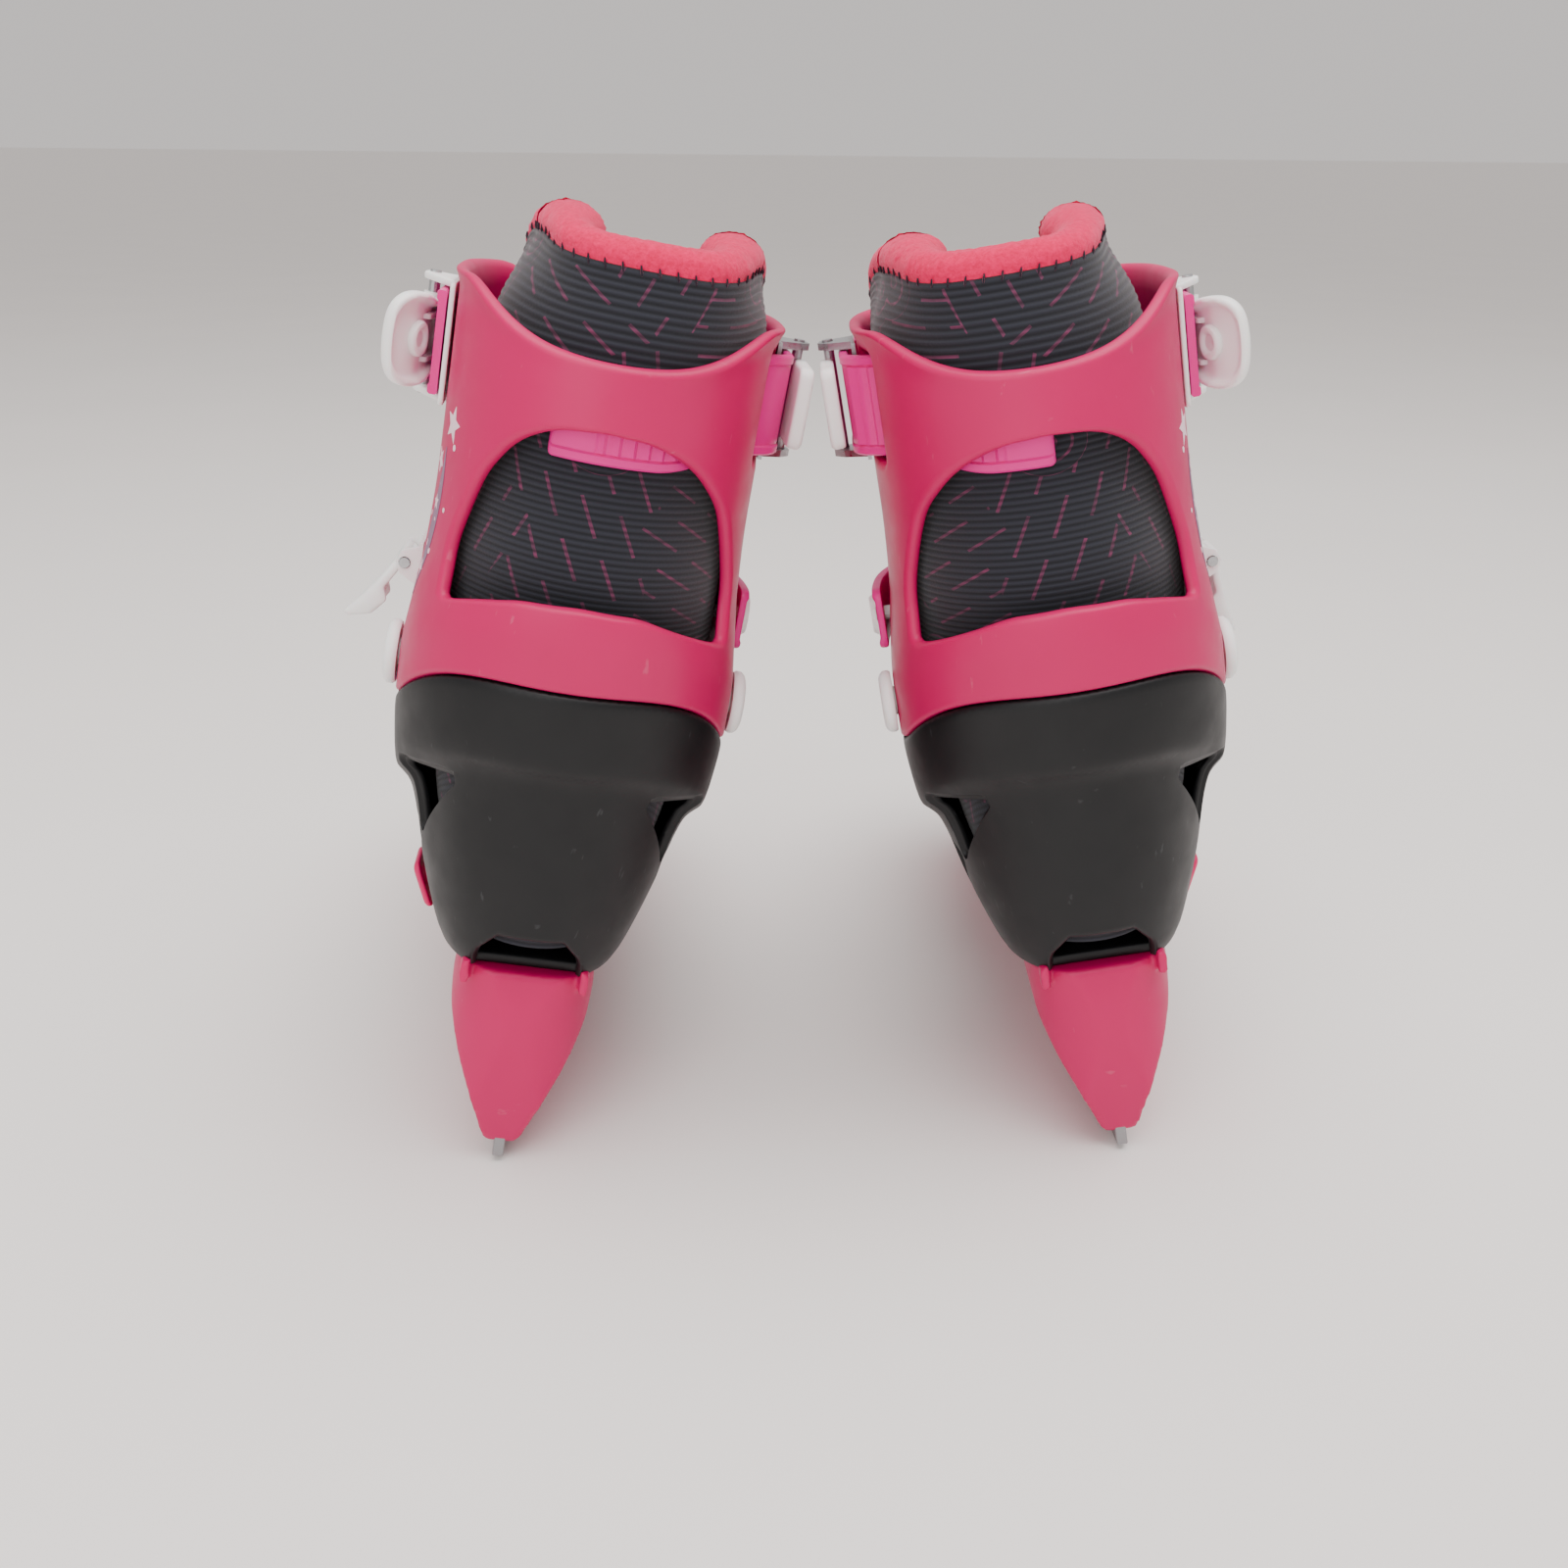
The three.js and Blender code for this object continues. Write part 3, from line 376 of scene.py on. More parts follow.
def tiled(loops: list[Array], step: float, levels: Array | None) -> tuple[Array, list[tuple[int, ...]]]:
    """Triangles over a region, with even rows of points inside it.

    Args:
        loops: Bounding loops.
        step: Distance between points.
        levels: Heights of the rows, or None for even rows.

    Returns:
        The points and the triangles.
    """
    edge = np.vstack(loops)
    if levels is None:
        levels = np.arange(edge[:, 1].min() + step / 2, edge[:, 1].max(), step)
    runs = np.arange(edge[:, 0].min() + step / 2, edge[:, 0].max(), step)
    grid = np.array([(u + (k % 2) * step / 2, v) for k, v in enumerate(levels) for u in runs]).reshape(-1, 2)
    grid = grid[inside(grid, loops)]
    near = np.array([np.min(np.sum((edge - g) ** 2, axis=1)) for g in grid])
    points = np.vstack([edge, grid[near > (0.6 * step) ** 2]])
    edges, first = [], 0
    for loop in loops:
        edges += [(first + i, first + (i + 1) % len(loop)) for i in range(len(loop))]
        first += len(loop)
    found, _, faces, *_ = delaunay_2d_cdt([Vector(p) for p in points], edges, [], 0, 1e-6)
    found = np.array([tuple(v) for v in found])
    middles = np.array([found[list(f)].mean(0) for f in faces])
    kept = inside(middles, loops)
    return found, [tuple(f) for f, keep in zip(faces, kept) if keep]


@dataclass
class Panel:
    """Plate of a moulded wall, laid on any surface, with shaped edges.

    Attributes:
        outline: Its outer loop, in the surface's own run and height.
        place: Turns runs, heights and depths below the face into points.
        profile: (inset, depth) steps round the edge, from the outer face to the inner one.
        holes: Loops cut out of it.
        hole_profile: The steps round the holes' edges, or None for the same.
        step: Distance between points inside.
        levels: Heights of the rows of points, or None for even rows.
        inner_finish: Finish number of the inner face.
    """

    outline: Array
    place: Place
    profile: list[tuple[float, float]]
    holes: list[Array] = field(default_factory=list)
    hole_profile: list[tuple[float, float]] | None = None
    step: float = 2.0
    levels: Array | None = None
    inner_finish: int = 0

    def shape(self) -> Shape:
        """The finished plate."""
        loops = [wound(self.outline, False)] + [wound(h, True) for h in self.holes]
        profiles = [self.profile] + [self.hole_profile or self.profile] * len(self.holes)
        parts = []
        for end, finish in ((0, 0), (-1, self.inner_finish)):
            edge = [drawn_in(loop, p[end][0]) for loop, p in zip(loops, profiles)]
            flat, faces = tiled(edge, self.step, self.levels)
            depth = np.full(len(flat), profiles[0][end][1])
            parts.append(Shape(self.place(flat[:, 0], flat[:, 1], depth), faces, [finish] * len(faces)))
        for loop, profile in zip(loops, profiles):
            rings = []
            for inset, depth in profile:
                ring = drawn_in(loop, inset)
                rings.append(self.place(ring[:, 0], ring[:, 1], np.full(len(ring), depth)))
            parts.append(loft(rings, closed=False))
        return parts[0].joined(*parts[1:])


def rounded_edge(thickness: float, radius: float, steps: int = 3) -> list[tuple[float, float]]:
    """Edge profile of a wall whose two corners are rounded.

    Args:
        thickness: The wall's thickness.
        radius: Radius of both corners.
        steps: Steps in each quarter turn.

    Returns:
        (inset, depth) steps from the outer face to the inner one.
    """
    quarter = []
    for i in range(steps + 1):
        turn = i / steps * math.pi / 2
        quarter.append((radius * (1 - math.sin(turn)), radius * (1 - math.cos(turn))))
    top = [(radius + 0.35, 0.0)] + quarter
    return top + [(inset, thickness - depth) for inset, depth in reversed(top)]


# ---- The skate's frame ----
class Side(Enum):
    """Which skate of the pair."""

    LEFT = "left"
    RIGHT = "right"


@dataclass(frozen=True)
class SkateFrame:
    """A skate's own upright axes, leaning in the shared frame."""

    side: Side
    origin: Array
    outer: Array
    toe: Array
    up: Array

    PIVOT_Y = 33.0
    PIVOT_Z = 132.0

    @classmethod
    def of(cls, side: Side) -> "SkateFrame":
        """The frame that the skate's size slide and ankle hinge give."""
        joints = {j["name"]: j for j in frame["joints"]}
        ankle = joints[f"{side.value}_ankle_flex"]
        toe = np.array(joints[f"{side.value}_size_slide"]["axis"], float)
        hinge = np.array(ankle["axis"], float)
        up = np.cross(toe, hinge)
        up /= np.linalg.norm(up)
        toe /= np.linalg.norm(toe)
        outer = hinge / np.linalg.norm(hinge) * (1 if side is Side.LEFT else -1)
        origin = np.array(ankle["pos_m"]) / MM - cls.PIVOT_Y * toe - cls.PIVOT_Z * up
        return cls(side, origin, outer, toe, up)

    def world(self, points: Array) -> Array:
        """Local millimetres as metres in the shared frame."""
        axes = np.stack([self.outer, self.toe, self.up])
        return (self.origin + points @ axes) * MM

    def name(self, text: str) -> str:
        """A piece's or body's name on this skate."""
        return f"{self.side.value}_{text}"


@dataclass(frozen=True)
class Workshop:
    """Makes one skate's pieces in its own frame."""

    at: SkateFrame

    def mesh(self, name: str, shape: Shape, finishes: list[bpy.types.Material], sharp: float = 50.0
             ) -> bpy.types.Object:
        """Object of a closed shape.

        Args:
            name: The piece's name without its side.
            shape: Its points and faces in local millimetres.
            finishes: Materials, by finish number.
            sharp: Faces that meet at a greater angle in degrees keep a crisp edge.

        Returns:
            The new object, linked to the scene.
        """
        mesh = bpy.data.meshes.new(self.at.name(name))
        mesh.from_pydata(self.at.world(shape.points).tolist(), [], shape.faces)
        for material in finishes:
            mesh.materials.append(material)
        mesh.polygons.foreach_set("material_index", np.array(shape.finish, np.int32))
        if shape.cloth is not None:
            layer = mesh.uv_layers.new(name="cloth")
            corners = np.zeros(len(mesh.loops), np.int32)
            mesh.loops.foreach_get("vertex_index", corners)
            layer.data.foreach_set("uv", shape.cloth[corners].astype(np.float32).ravel())
        shell = bmesh.new()
        shell.from_mesh(mesh)
        bmesh.ops.remove_doubles(shell, verts=shell.verts, dist=0.004 * MM)
        bmesh.ops.recalc_face_normals(shell, faces=shell.faces)
        shell.to_mesh(mesh)
        shell.free()
        mesh.shade_smooth()
        mesh.set_sharp_from_angle(angle=math.radians(sharp))
        piece = bpy.data.objects.new(self.at.name(name), mesh)
        bpy.context.scene.collection.objects.link(piece)
        return piece

    def fit(self, piece: bpy.types.Object, body: str, slot: str, *nodes: str) -> bpy.types.Object:
        """Rides a piece on its body in place of CAD nodes.

        Args:
            piece: The piece.
            body: Its body's name without the side.
            slot: The record's material slot; not used.
            *nodes: The nodes that it stands for, without the side.

        Returns:
            The piece.
        """
        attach(piece, self.at.name(body))
        if nodes:
            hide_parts(*[self.at.name(n) for n in nodes])
        LOG.info("%s: %d faces on %s", piece.name, len(piece.data.polygons), body)
        return piece


def rounded_by_remesh(piece: bpy.types.Object, voxel: float, passes: int) -> None:
    """Remeshes a cut solid evenly and eases its edges, as a mould's radii do.

    Args:
        piece: The solid, which is changed.
        voxel: Size of the new faces in millimetres.
        passes: Smoothing passes.
    """
    remesh = piece.modifiers.new("even", "REMESH")
    remesh.mode = "VOXEL"
    remesh.voxel_size = voxel * MM
    easing = piece.modifiers.new("ease", "SMOOTH")
    easing.factor = 0.5
    easing.iterations = passes
    apply_modifiers(piece)
    piece.data.shade_smooth()


def apply_modifiers(piece: bpy.types.Object) -> None:
    """Replaces a piece's mesh with what its modifiers make."""
    done = bpy.data.meshes.new_from_object(piece.evaluated_get(bpy.context.evaluated_depsgraph_get()))
    piece.modifiers.clear()
    piece.data = done


class Combining(Enum):
    """What two solids become."""

    COMMON = "INTERSECT"
    JOINED = "UNION"


def combine(piece: bpy.types.Object, tool: bpy.types.Object, way: Combining = Combining.COMMON) -> None:
    """Makes one solid of a piece and a tool solid, and removes the tool.

    Args:
        piece: The piece, which is changed.
        tool: The tool solid.
        way: What they become.
    """
    cut = piece.modifiers.new("cut", "BOOLEAN")
    cut.operation = way.value
    cut.solver = "EXACT"
    cut.object = tool
    apply_modifiers(piece)
    bpy.data.objects.remove(tool)


# ---- Finishes ----
def linear(colour: str) -> tuple[float, float, float, float]:
    """An sRGB hex colour as linear RGBA."""
    parts = [int(colour[i:i + 2], 16) / 255 for i in (1, 3, 5)]
    return (*[p / 12.92 if p <= 0.04045 else ((p + 0.055) / 1.055) ** 2.4 for p in parts], 1.0)


def add_node(tree: bpy.types.NodeTree, kind: str, inputs: dict | None = None, **settings: object
             ) -> bpy.types.Node:
    """Adds a node with its settings and links.

    Args:
        tree: The material's nodes.
        kind: The node's type without "ShaderNode".
        inputs: Socket name or number to a value, or to the output that feeds it.
        **settings: Attributes of the node.

    Returns:
        The node.
    """
    node = tree.nodes.new("ShaderNode" + kind)
    for key, value in settings.items():
        setattr(node, key, value)
    for key, value in (inputs or {}).items():
        if isinstance(value, bpy.types.NodeSocket):
            tree.links.new(value, node.inputs[key])
        else:
            node.inputs[key].default_value = value
    return node


def new_finish(name: str) -> tuple[bpy.types.Material, bpy.types.NodeTree, bpy.types.Node]:
    """Empty material with a Principled shader: the material, its nodes and the shader."""
    material = bpy.data.materials.new(name)
    material.use_nodes = True
    tree = material.node_tree
    tree.nodes.clear()
    shader = add_node(tree, "BsdfPrincipled")
    add_node(tree, "OutputMaterial", {"Surface": shader.outputs["BSDF"]})
    return material, tree, shader


@dataclass(frozen=True)
class MouldedPlastic:
    """Injection-moulded thermoplastic with a spark-eroded satin skin.

    Attributes:
        name: The plastic and its skin.
        colour: Colour of most of it.
        shade: Colour of its thicker, duller patches.
        roughness: Mean roughness.
        grain: Width of the skin's grain in millimetres.
        depth: Depth of the grain in millimetres.
        scuffs: How much pale scuffing shows, from 0 to 1.
        glow: Share of light that goes through the skin.
    """

    name: str
    colour: str
    shade: str
    roughness: float
    grain: float
    depth: float
    scuffs: float = 0.0
    glow: float = 0.0

    def material(self) -> bpy.types.Material:
        """The finish as a material."""
        material, tree, shader = new_finish(self.name)
        coordinates = add_node(tree, "TexCoord").outputs["Object"]
        # flow patches of the moulding, about 30 mm across, which only just show
        patches = add_node(tree, "TexNoise", {"Vector": coordinates, "Scale": 1000 / 30, "Detail": 2.0})
        colour = add_node(
            tree, "Mix", {0: patches.outputs[0], 6: linear(self.shade), 7: linear(self.colour)},
            data_type="RGBA").outputs[2]
        if self.scuffs > 0:
            # hairline scuffs: long in one direction, each about 0.4 mm wide
            stretch = add_node(
                tree, "Mapping",
                {"Vector": coordinates, "Scale": (120.0, 900.0, 160.0), "Rotation": (0.4, 0.2, 0.7)})
            lines = add_node(tree, "TexNoise", {"Vector": stretch.outputs[0], "Scale": 1.0, "Detail": 3.0})
            thin = add_node(
                tree, "MapRange", {0: lines.outputs[0], 1: 0.69, 2: 0.74, 3: 0.0, 4: self.scuffs})
            scuff = linear("#E9A9B8" if self.glow else "#77797D")
            colour = add_node(
                tree, "Mix", {0: thin.outputs[0], 6: colour, 7: scuff}, data_type="RGBA").outputs[2]
        tree.links.new(colour, shader.inputs["Base Color"])
        gloss = add_node(tree, "TexNoise", {"Vector": coordinates, "Scale": 1000 / 9, "Detail": 3.0})
        rough = add_node(
            tree, "MapRange",
            {0: gloss.outputs[0], 1: 0.3, 2: 0.7, 3: self.roughness - 0.05, 4: self.roughness + 0.05})
        tree.links.new(rough.outputs[0], shader.inputs["Roughness"])
        # an eroded skin's grain is finer than this, which is drawn coarser so that it shows
        grain = add_node(tree, "TexNoise", {"Vector": coordinates, "Scale": 1000 / self.grain, "Detail": 2.0})
        bump = add_node(
            tree, "Bump", {"Strength": 0.35, "Distance": self.depth * MM, "Height": grain.outputs[0]})
        tree.links.new(bump.outputs[0], shader.inputs["Normal"])
        shader.inputs["IOR"].default_value = 1.49
        # the eroded skin shades itself, which takes some of its gloss away
        shader.inputs["Specular IOR Level"].default_value = 0.3
        shader.inputs["Subsurface Weight"].default_value = self.glow
        shader.inputs["Subsurface Radius"].default_value = (0.004, 0.0012, 0.0016)
        shader.inputs["Subsurface Scale"].default_value = 1.0
        return material


@dataclass(frozen=True)
class Steel:
    """Steel whose surface was ground or plated.

    Attributes:
        name: The steel and its surface.
        colour: Its colour.
        roughness: Mean roughness.
        lines: Width of its grinding lines in millimetres, or of its plating's mottle.
        stretch: How many times longer than wide the lines are.
    """

    name: str
    colour: str
    roughness: float
    lines: float
    stretch: float

    def material(self) -> bpy.types.Material:
        """The finish as a material."""
        material, tree, shader = new_finish(self.name)
        coordinates = add_node(tree, "TexCoord").outputs["Object"]
        fine = 1000 / self.lines
        along = add_node(tree, "Mapping", {"Vector": coordinates, "Scale": (fine, fine / self.stretch, fine)})
        lines = add_node(tree, "TexNoise", {"Vector": along.outputs[0], "Scale": 1.0, "Detail": 4.0})
        rough = add_node(
            tree, "MapRange",
            {0: lines.outputs[0], 1: 0.3, 2: 0.7, 3: self.roughness - 0.1, 4: self.roughness + 0.12})
        tree.links.new(rough.outputs[0], shader.inputs["Roughness"])
        bump = add_node(tree, "Bump", {"Strength": 0.3, "Distance": 0.03 * MM, "Height": lines.outputs[0]})
        tree.links.new(bump.outputs[0], shader.inputs["Normal"])
        shader.inputs["Base Color"].default_value = linear(self.colour)
        shader.inputs["Metallic"].default_value = 1.0
        return material


@dataclass(frozen=True)
class RibbedLining:
    """Knitted polyester with fine ribs and a thin line print.

    Attributes:
        name: The cloth.
        colour: Colour of the ribs' crests.
        shade: Colour between the ribs, a painted shade in their hollows.
        ink: Colour of the print.
        rib: Distance between ribs in millimetres.
        patch: Width of one patch of the print in millimetres.
    """

    name: str
    colour: str
    shade: str
    ink: str
    rib: float = 1.6
    patch: float = 30.0

    def maths(self, tree: bpy.types.NodeTree, kind: str, *values: object) -> bpy.types.NodeSocket:
        """Result of one calculation on values or sockets."""
        return add_node(tree, "Math", dict(enumerate(values)), operation=kind).outputs[0]

    def print_mask(self, tree: bpy.types.NodeTree, cloth: bpy.types.NodeSocket) -> bpy.types.NodeSocket:
        """Where the print is: patches of slanted dashes or of rings, chosen patch by patch.

        Args:
            tree: The material's nodes.
            cloth: Cloth coordinates in millimetres.

        Returns:
            A socket that is 1 on the ink.
        """
        patches = add_node(
            tree, "TexVoronoi", {"Vector": cloth, "Scale": 1 / self.patch}, voronoi_dimensions="2D")
        chance = add_node(tree, "SeparateXYZ", {0: patches.outputs["Color"]})
        pick = self.maths(tree, "FRACT", self.maths(tree, "MULTIPLY", chance.outputs[0], 7.31))
        choice = self.maths(tree, "ROUND", self.maths(tree, "MULTIPLY_ADD", pick, 4.0, -2.0))
        slant = self.maths(tree, "MULTIPLY", choice, 0.62)
        turned_cloth = add_node(
            tree, "VectorRotate", {"Vector": cloth, "Angle": slant}, rotation_type="Z_AXIS")
        axes = add_node(tree, "SeparateXYZ", {0: turned_cloth.outputs[0]})
        line, dash = 5.6, 15.0
        row = self.maths(tree, "DIVIDE", axes.outputs[1], line)
        shift = self.maths(tree, "MULTIPLY", self.maths(tree, "FLOOR", row), 0.37)
        across = self.maths(
            tree, "ABSOLUTE", self.maths(tree, "SUBTRACT", self.maths(tree, "FRACT", row), 0.5))
        on_line = self.maths(tree, "LESS_THAN", across, 0.32 / line)
        along = self.maths(tree, "ADD", self.maths(tree, "DIVIDE", axes.outputs[0], dash), shift)
        on_dash = self.maths(tree, "LESS_THAN", self.maths(tree, "FRACT", along), 0.66)
        dashes = self.maths(tree, "MULTIPLY", on_line, on_dash)
        ring = self.maths(
            tree, "FRACT", self.maths(tree, "MULTIPLY", patches.outputs["Distance"], self.patch / 3.1))
        near = self.maths(
            tree, "LESS_THAN", self.maths(tree, "MULTIPLY", patches.outputs["Distance"], self.patch), 7.6)
        ring = self.maths(
            tree, "LESS_THAN", self.maths(tree, "ABSOLUTE", self.maths(tree, "SUBTRACT", ring, 0.5)), 0.09)
        rings = self.maths(tree, "MULTIPLY", ring, near)
        has_rings = self.maths(tree, "GREATER_THAN", chance.outputs[1], 0.62)
        dashes = self.maths(
            tree, "MULTIPLY", dashes,
            self.maths(tree, "SUBTRACT", 1.0, self.maths(tree, "MULTIPLY", has_rings, near)))
        return self.maths(tree, "MAXIMUM", dashes, self.maths(tree, "MULTIPLY", rings, has_rings))

    def material(self) -> bpy.types.Material:
        """The finish as a material."""
        material, tree, shader = new_finish(self.name)
        uv = add_node(tree, "UVMap", uv_map="cloth").outputs[0]
        cloth = add_node(tree, "VectorMath", {0: uv, "Scale": 1000.0}, operation="SCALE").outputs[0]
        axes = add_node(tree, "SeparateXYZ", {0: cloth})
        phase = self.maths(tree, "MULTIPLY", axes.outputs[1], 2 * math.pi / self.rib)
        crest = self.maths(tree, "MULTIPLY_ADD", self.maths(tree, "COSINE", phase), 0.5, 0.5)
        # painted shade: the colour darkens from the crests' colour to the shade colour between the ribs,
        # where the knit shades itself
        base = add_node(
            tree, "Mix", {0: crest, 6: linear(self.shade), 7: linear(self.colour)},
            data_type="RGBA").outputs[2]
        # the ink lies on the crests and wears unevenly
        wear = add_node(tree, "TexNoise", {"Vector": cloth, "Scale": 0.35, "Detail": 2.0})
        hold = add_node(tree, "MapRange", {0: wear.outputs[0], 1: 0.35, 2: 0.65, 3: 0.35, 4: 0.8})
        inked = self.maths(
            tree, "MULTIPLY", self.print_mask(tree, cloth),
            self.maths(tree, "MULTIPLY", hold.outputs[0], self.maths(tree, "MULTIPLY_ADD", crest, 0.6, 0.4)))
        colour = add_node(tree, "Mix", {0: inked, 6: base, 7: linear(self.ink)}, data_type="RGBA").outputs[2]
        tree.links.new(colour, shader.inputs["Base Color"])
        # yarn of the knit: about 0.5 mm loops along each rib
        yarn = add_node(tree, "TexNoise", {"Vector": cloth, "Scale": 2.0, "Detail": 2.0})
        height = self.maths(tree, "MULTIPLY_ADD", yarn.outputs[0], 0.5, crest)
        bump = add_node(tree, "Bump", {"Strength": 0.5, "Distance": 0.25 * MM, "Height": height})
        tree.links.new(bump.outputs[0], shader.inputs["Normal"])
        shader.inputs["Roughness"].default_value = 0.88
        shader.inputs["Specular IOR Level"].default_value = 0.25
        shader.inputs["Sheen Weight"].default_value = 0.25
        shader.inputs["Sheen Roughness"].default_value = 0.5
        return material


@dataclass(frozen=True)
class BrushedFleece:
    """Polyester fleece with a short brushed pile.

    Attributes:
        name: The cloth.
        colour: Colour of the pile's tips.
        shade: Colour between the tufts, a painted shade in the hollows.
        tuft: Width of a tuft in millimetres.
    """

    name: str
    colour: str
    shade: str
    tuft: float = 1.1

    def material(self) -> bpy.types.Material:
        """The finish as a material."""
        material, tree, shader = new_finish(self.name)
        coordinates = add_node(tree, "TexCoord").outputs["Object"]
        # one pattern sets height and colour, so the hollows between tufts get a painted shade
        tufts = add_node(
            tree, "TexNoise",
            {"Vector": coordinates, "Scale": 1000 / self.tuft, "Detail": 5.0, "Roughness": 0.7})
        tuft_shading = add_node(tree, "MapRange", {0: tufts.outputs[0], 1: 0.35, 2: 0.65, 3: 0.0, 4: 1.0})
        # painted shade: the colour goes to the shade colour where the tufts are low
        colour = add_node(
            tree, "Mix", {0: tuft_shading.outputs[0], 6: linear(self.shade), 7: linear(self.colour)},
            data_type="RGBA")
        tree.links.new(colour.outputs[2], shader.inputs["Base Color"])
        bump = add_node(tree, "Bump", {"Strength": 0.8, "Distance": 0.5 * MM, "Height": tufts.outputs[0]})
        tree.links.new(bump.outputs[0], shader.inputs["Normal"])
        shader.inputs["Roughness"].default_value = 0.95
        shader.inputs["Specular IOR Level"].default_value = 0.1
        shader.inputs["Sheen Weight"].default_value = 0.7
        shader.inputs["Sheen Roughness"].default_value = 0.4
        shader.inputs["Sheen Tint"].default_value = linear("#FF9DB4")
        return material


@dataclass
class Finishes:
    """Every material of the pair, made once."""

    pink: bpy.types.Material = field(init=False)
    black: bpy.types.Material = field(init=False)
    white: bpy.types.Material = field(init=False)
    strap: bpy.types.Material = field(init=False)
    button: bpy.types.Material = field(init=False)
    blade: bpy.types.Material = field(init=False)
    zinc: bpy.types.Material = field(init=False)
    lining: bpy.types.Material = field(init=False)
    fleece: bpy.types.Material = field(init=False)
    foam: bpy.types.Material = field(init=False)
    thread: bpy.types.Material = field(init=False)
    ink: bpy.types.Material = field(init=False)
    grey_ink: bpy.types.Material = field(init=False)

    def __post_init__(self) -> None:
        """Makes the materials."""
        # polypropylene lets a little light into its skin, so its pink stays warm in the shade
        self.pink = MouldedPlastic(
            "pink polypropylene, moulded satin", "#C4005A", "#BA0053", 0.42, 0.5, 0.03, 0.10, 0.12).material()
        # the same grain on black, which lets no light in, so it shows by its broad soft highlights
        self.black = MouldedPlastic(
            "black polypropylene, moulded satin", "#101113", "#0C0D0F", 0.46, 0.5, 0.03, 0.10).material()
        # nylon is smoother and scatters light under its skin like wax
        self.white = MouldedPlastic(
            "white nylon, moulded", "#FAF9F8", "#F2F0EE", 0.36, 0.8, 0.02, 0.0, 0.15).material()
        # the strap's mould was polished, so its teeth catch tighter highlights than the shells
        self.strap = MouldedPlastic(
            "magenta TPU, moulded gloss", "#E81A90", "#DC1686", 0.34, 0.8, 0.02, 0.0, 0.12).material()
        # acetal leaves the mould smoother than the shells, with a finer grain than the strap's
        self.button = MouldedPlastic(
            "magenta acetal, moulded", "#DE1466", "#D2105E", 0.36, 0.6, 0.02, 0.0, 0.08).material()
        # ground along its length, which draws the highlights out across it
        self.blade = Steel("hardened steel, ground", "#97989A", 0.38, 0.25, 40.0).material()
        # zinc plating leaves an even mottle with no direction
        self.zinc = Steel("steel, zinc plated", "#B4B6B8", 0.36, 1.2, 1.0).material()
        # the knit has a painted shade between its ribs, and its print is strongest on their crests
        self.lining = RibbedLining(
            "ribbed polyester knit, printed", "#272932", "#15161C", "#7A2F55").material()
        # brushed fibre ends catch light at a slant, so the cloth is paler towards its edges
        self.fleece = BrushedFleece("polyester fleece, brushed", "#F00E5E", "#D6084A").material()
        # felt and thread have the same dull fibre ends and the same painted shade between their tufts
        self.foam = BrushedFleece("EVA foam sole, felt faced", "#5A5B62", "#484950").material()
        self.thread = BrushedFleece("polyester overlock thread", "#2A2B34", "#1E1F27").material()
        # dried ink is a thin film, a little duller than the plastic that it lies on
        self.ink = MouldedPlastic("pad-printed ink, pale", "#F3D8E0", "#EBC8D4", 0.5, 0.5, 0.01).material()
        self.grey_ink = MouldedPlastic(
            "pad-printed ink, grey", "#8E6C86", "#86657F", 0.5, 0.5, 0.01).material()


# ---- The moulded forms that several pieces share ----
HEEL_RISE = 20.6
RIM_DROP = 12.0
SHELL_WALL = 3.0
CUFF_BOTTOM = 122.8
CUFF_TOP = 231.0
STRAP_Z = 212.0
PIN_X = 46.7
BUCKLE_Y = 50.0
BUTTON_Y = 38.0
BUTTON_Z = 67.0
STEM_Z = 67.4

FOOT_ROWS = (
    Row(60.3, -5.5, 23.5, 22, 210, 33, 160), Row(63, -6.8, 25, 22, 218, 38, 162),
    Row(70, -8, 28, 23, 225, 42, 164), Row(80, -9.5, 31.5, 24, 225, 43.5, 164),
    Row(98, -11.5, 36.5, 26, 202, 39, 150), Row(114, -12.4, 38.7, 28, 142, 33, 104),
    Row(122, -11.6, 39, 30, 122, 34, 84), Row(132, -6.6, 39, 32, 102, 36, 66),
    Row(148, -3, 38, 33, 88, 37, 50),
)
CUFF_ROWS = (
    Row(CUFF_BOTTOM, -15.5, 43.5, 30, 74), Row(135, -15.5, 43.5, 31, 75), Row(150, -15.2, 42, 32, 76),
    Row(165, -14.2, 40.2, 33, 77), Row(185, -12.4, 39.4, 35, 78), Row(205, -10.6, 39.4, 36, 79),
    Row(227, -9.2, 39.4, 36, 79), Row(CUFF_TOP, -8.8, 41, 36, 80),
)
SHAFT_ROWS = (
    Row(150, -2.4, 35.4, 32, 72), Row(168, -6.6, 35.2, 33, 72), Row(186, -5, 34, 35, 73),
    Row(200, -3.4, 33, 35, 73.5), Row(220, -3.6, 33.4, 35, 74), Row(236, -3.6, 34, 35, 74),
    Row(262, -3.6, 34, 35, 74),
)
FOOT = Form(FOOT_ROWS)
CUFF = Form(CUFF_ROWS, (3.4, 3.4), heel_run=69.0, side_run=0.0, toe_run=69.0)


def climb(y: Array) -> Array:
    """How far the lines round the ankle rise towards the heel."""
    return HEEL_RISE * smooth((30 - y) / 45.5) ** 0.8


def shell_lift(z: Array, y: Array) -> Array:
    """Rise of the shell's surface lines."""
    return climb(y) * smooth((z - 62) / 38)


def cuff_lift(z: Array, y: Array) -> Array:
    """Rise of the cuff's lower lines and fall of its rim at the back."""
    dip = RIM_DROP * (1 - smooth((y + 11) / 30))
    return climb(y) * (1 - smooth((z - 122) / 53)) - dip * smooth((z - 196) / (CUFF_TOP - 196))


def height_before(lift: Callable[[Array, Array], Array], z: Array, y: Array) -> Array:
    """Height that a lift raises to z at y."""
    before = np.array(z, float)
    for _ in range(30):
        before = before + 0.6 * (z - before - lift(before, y))
    return before


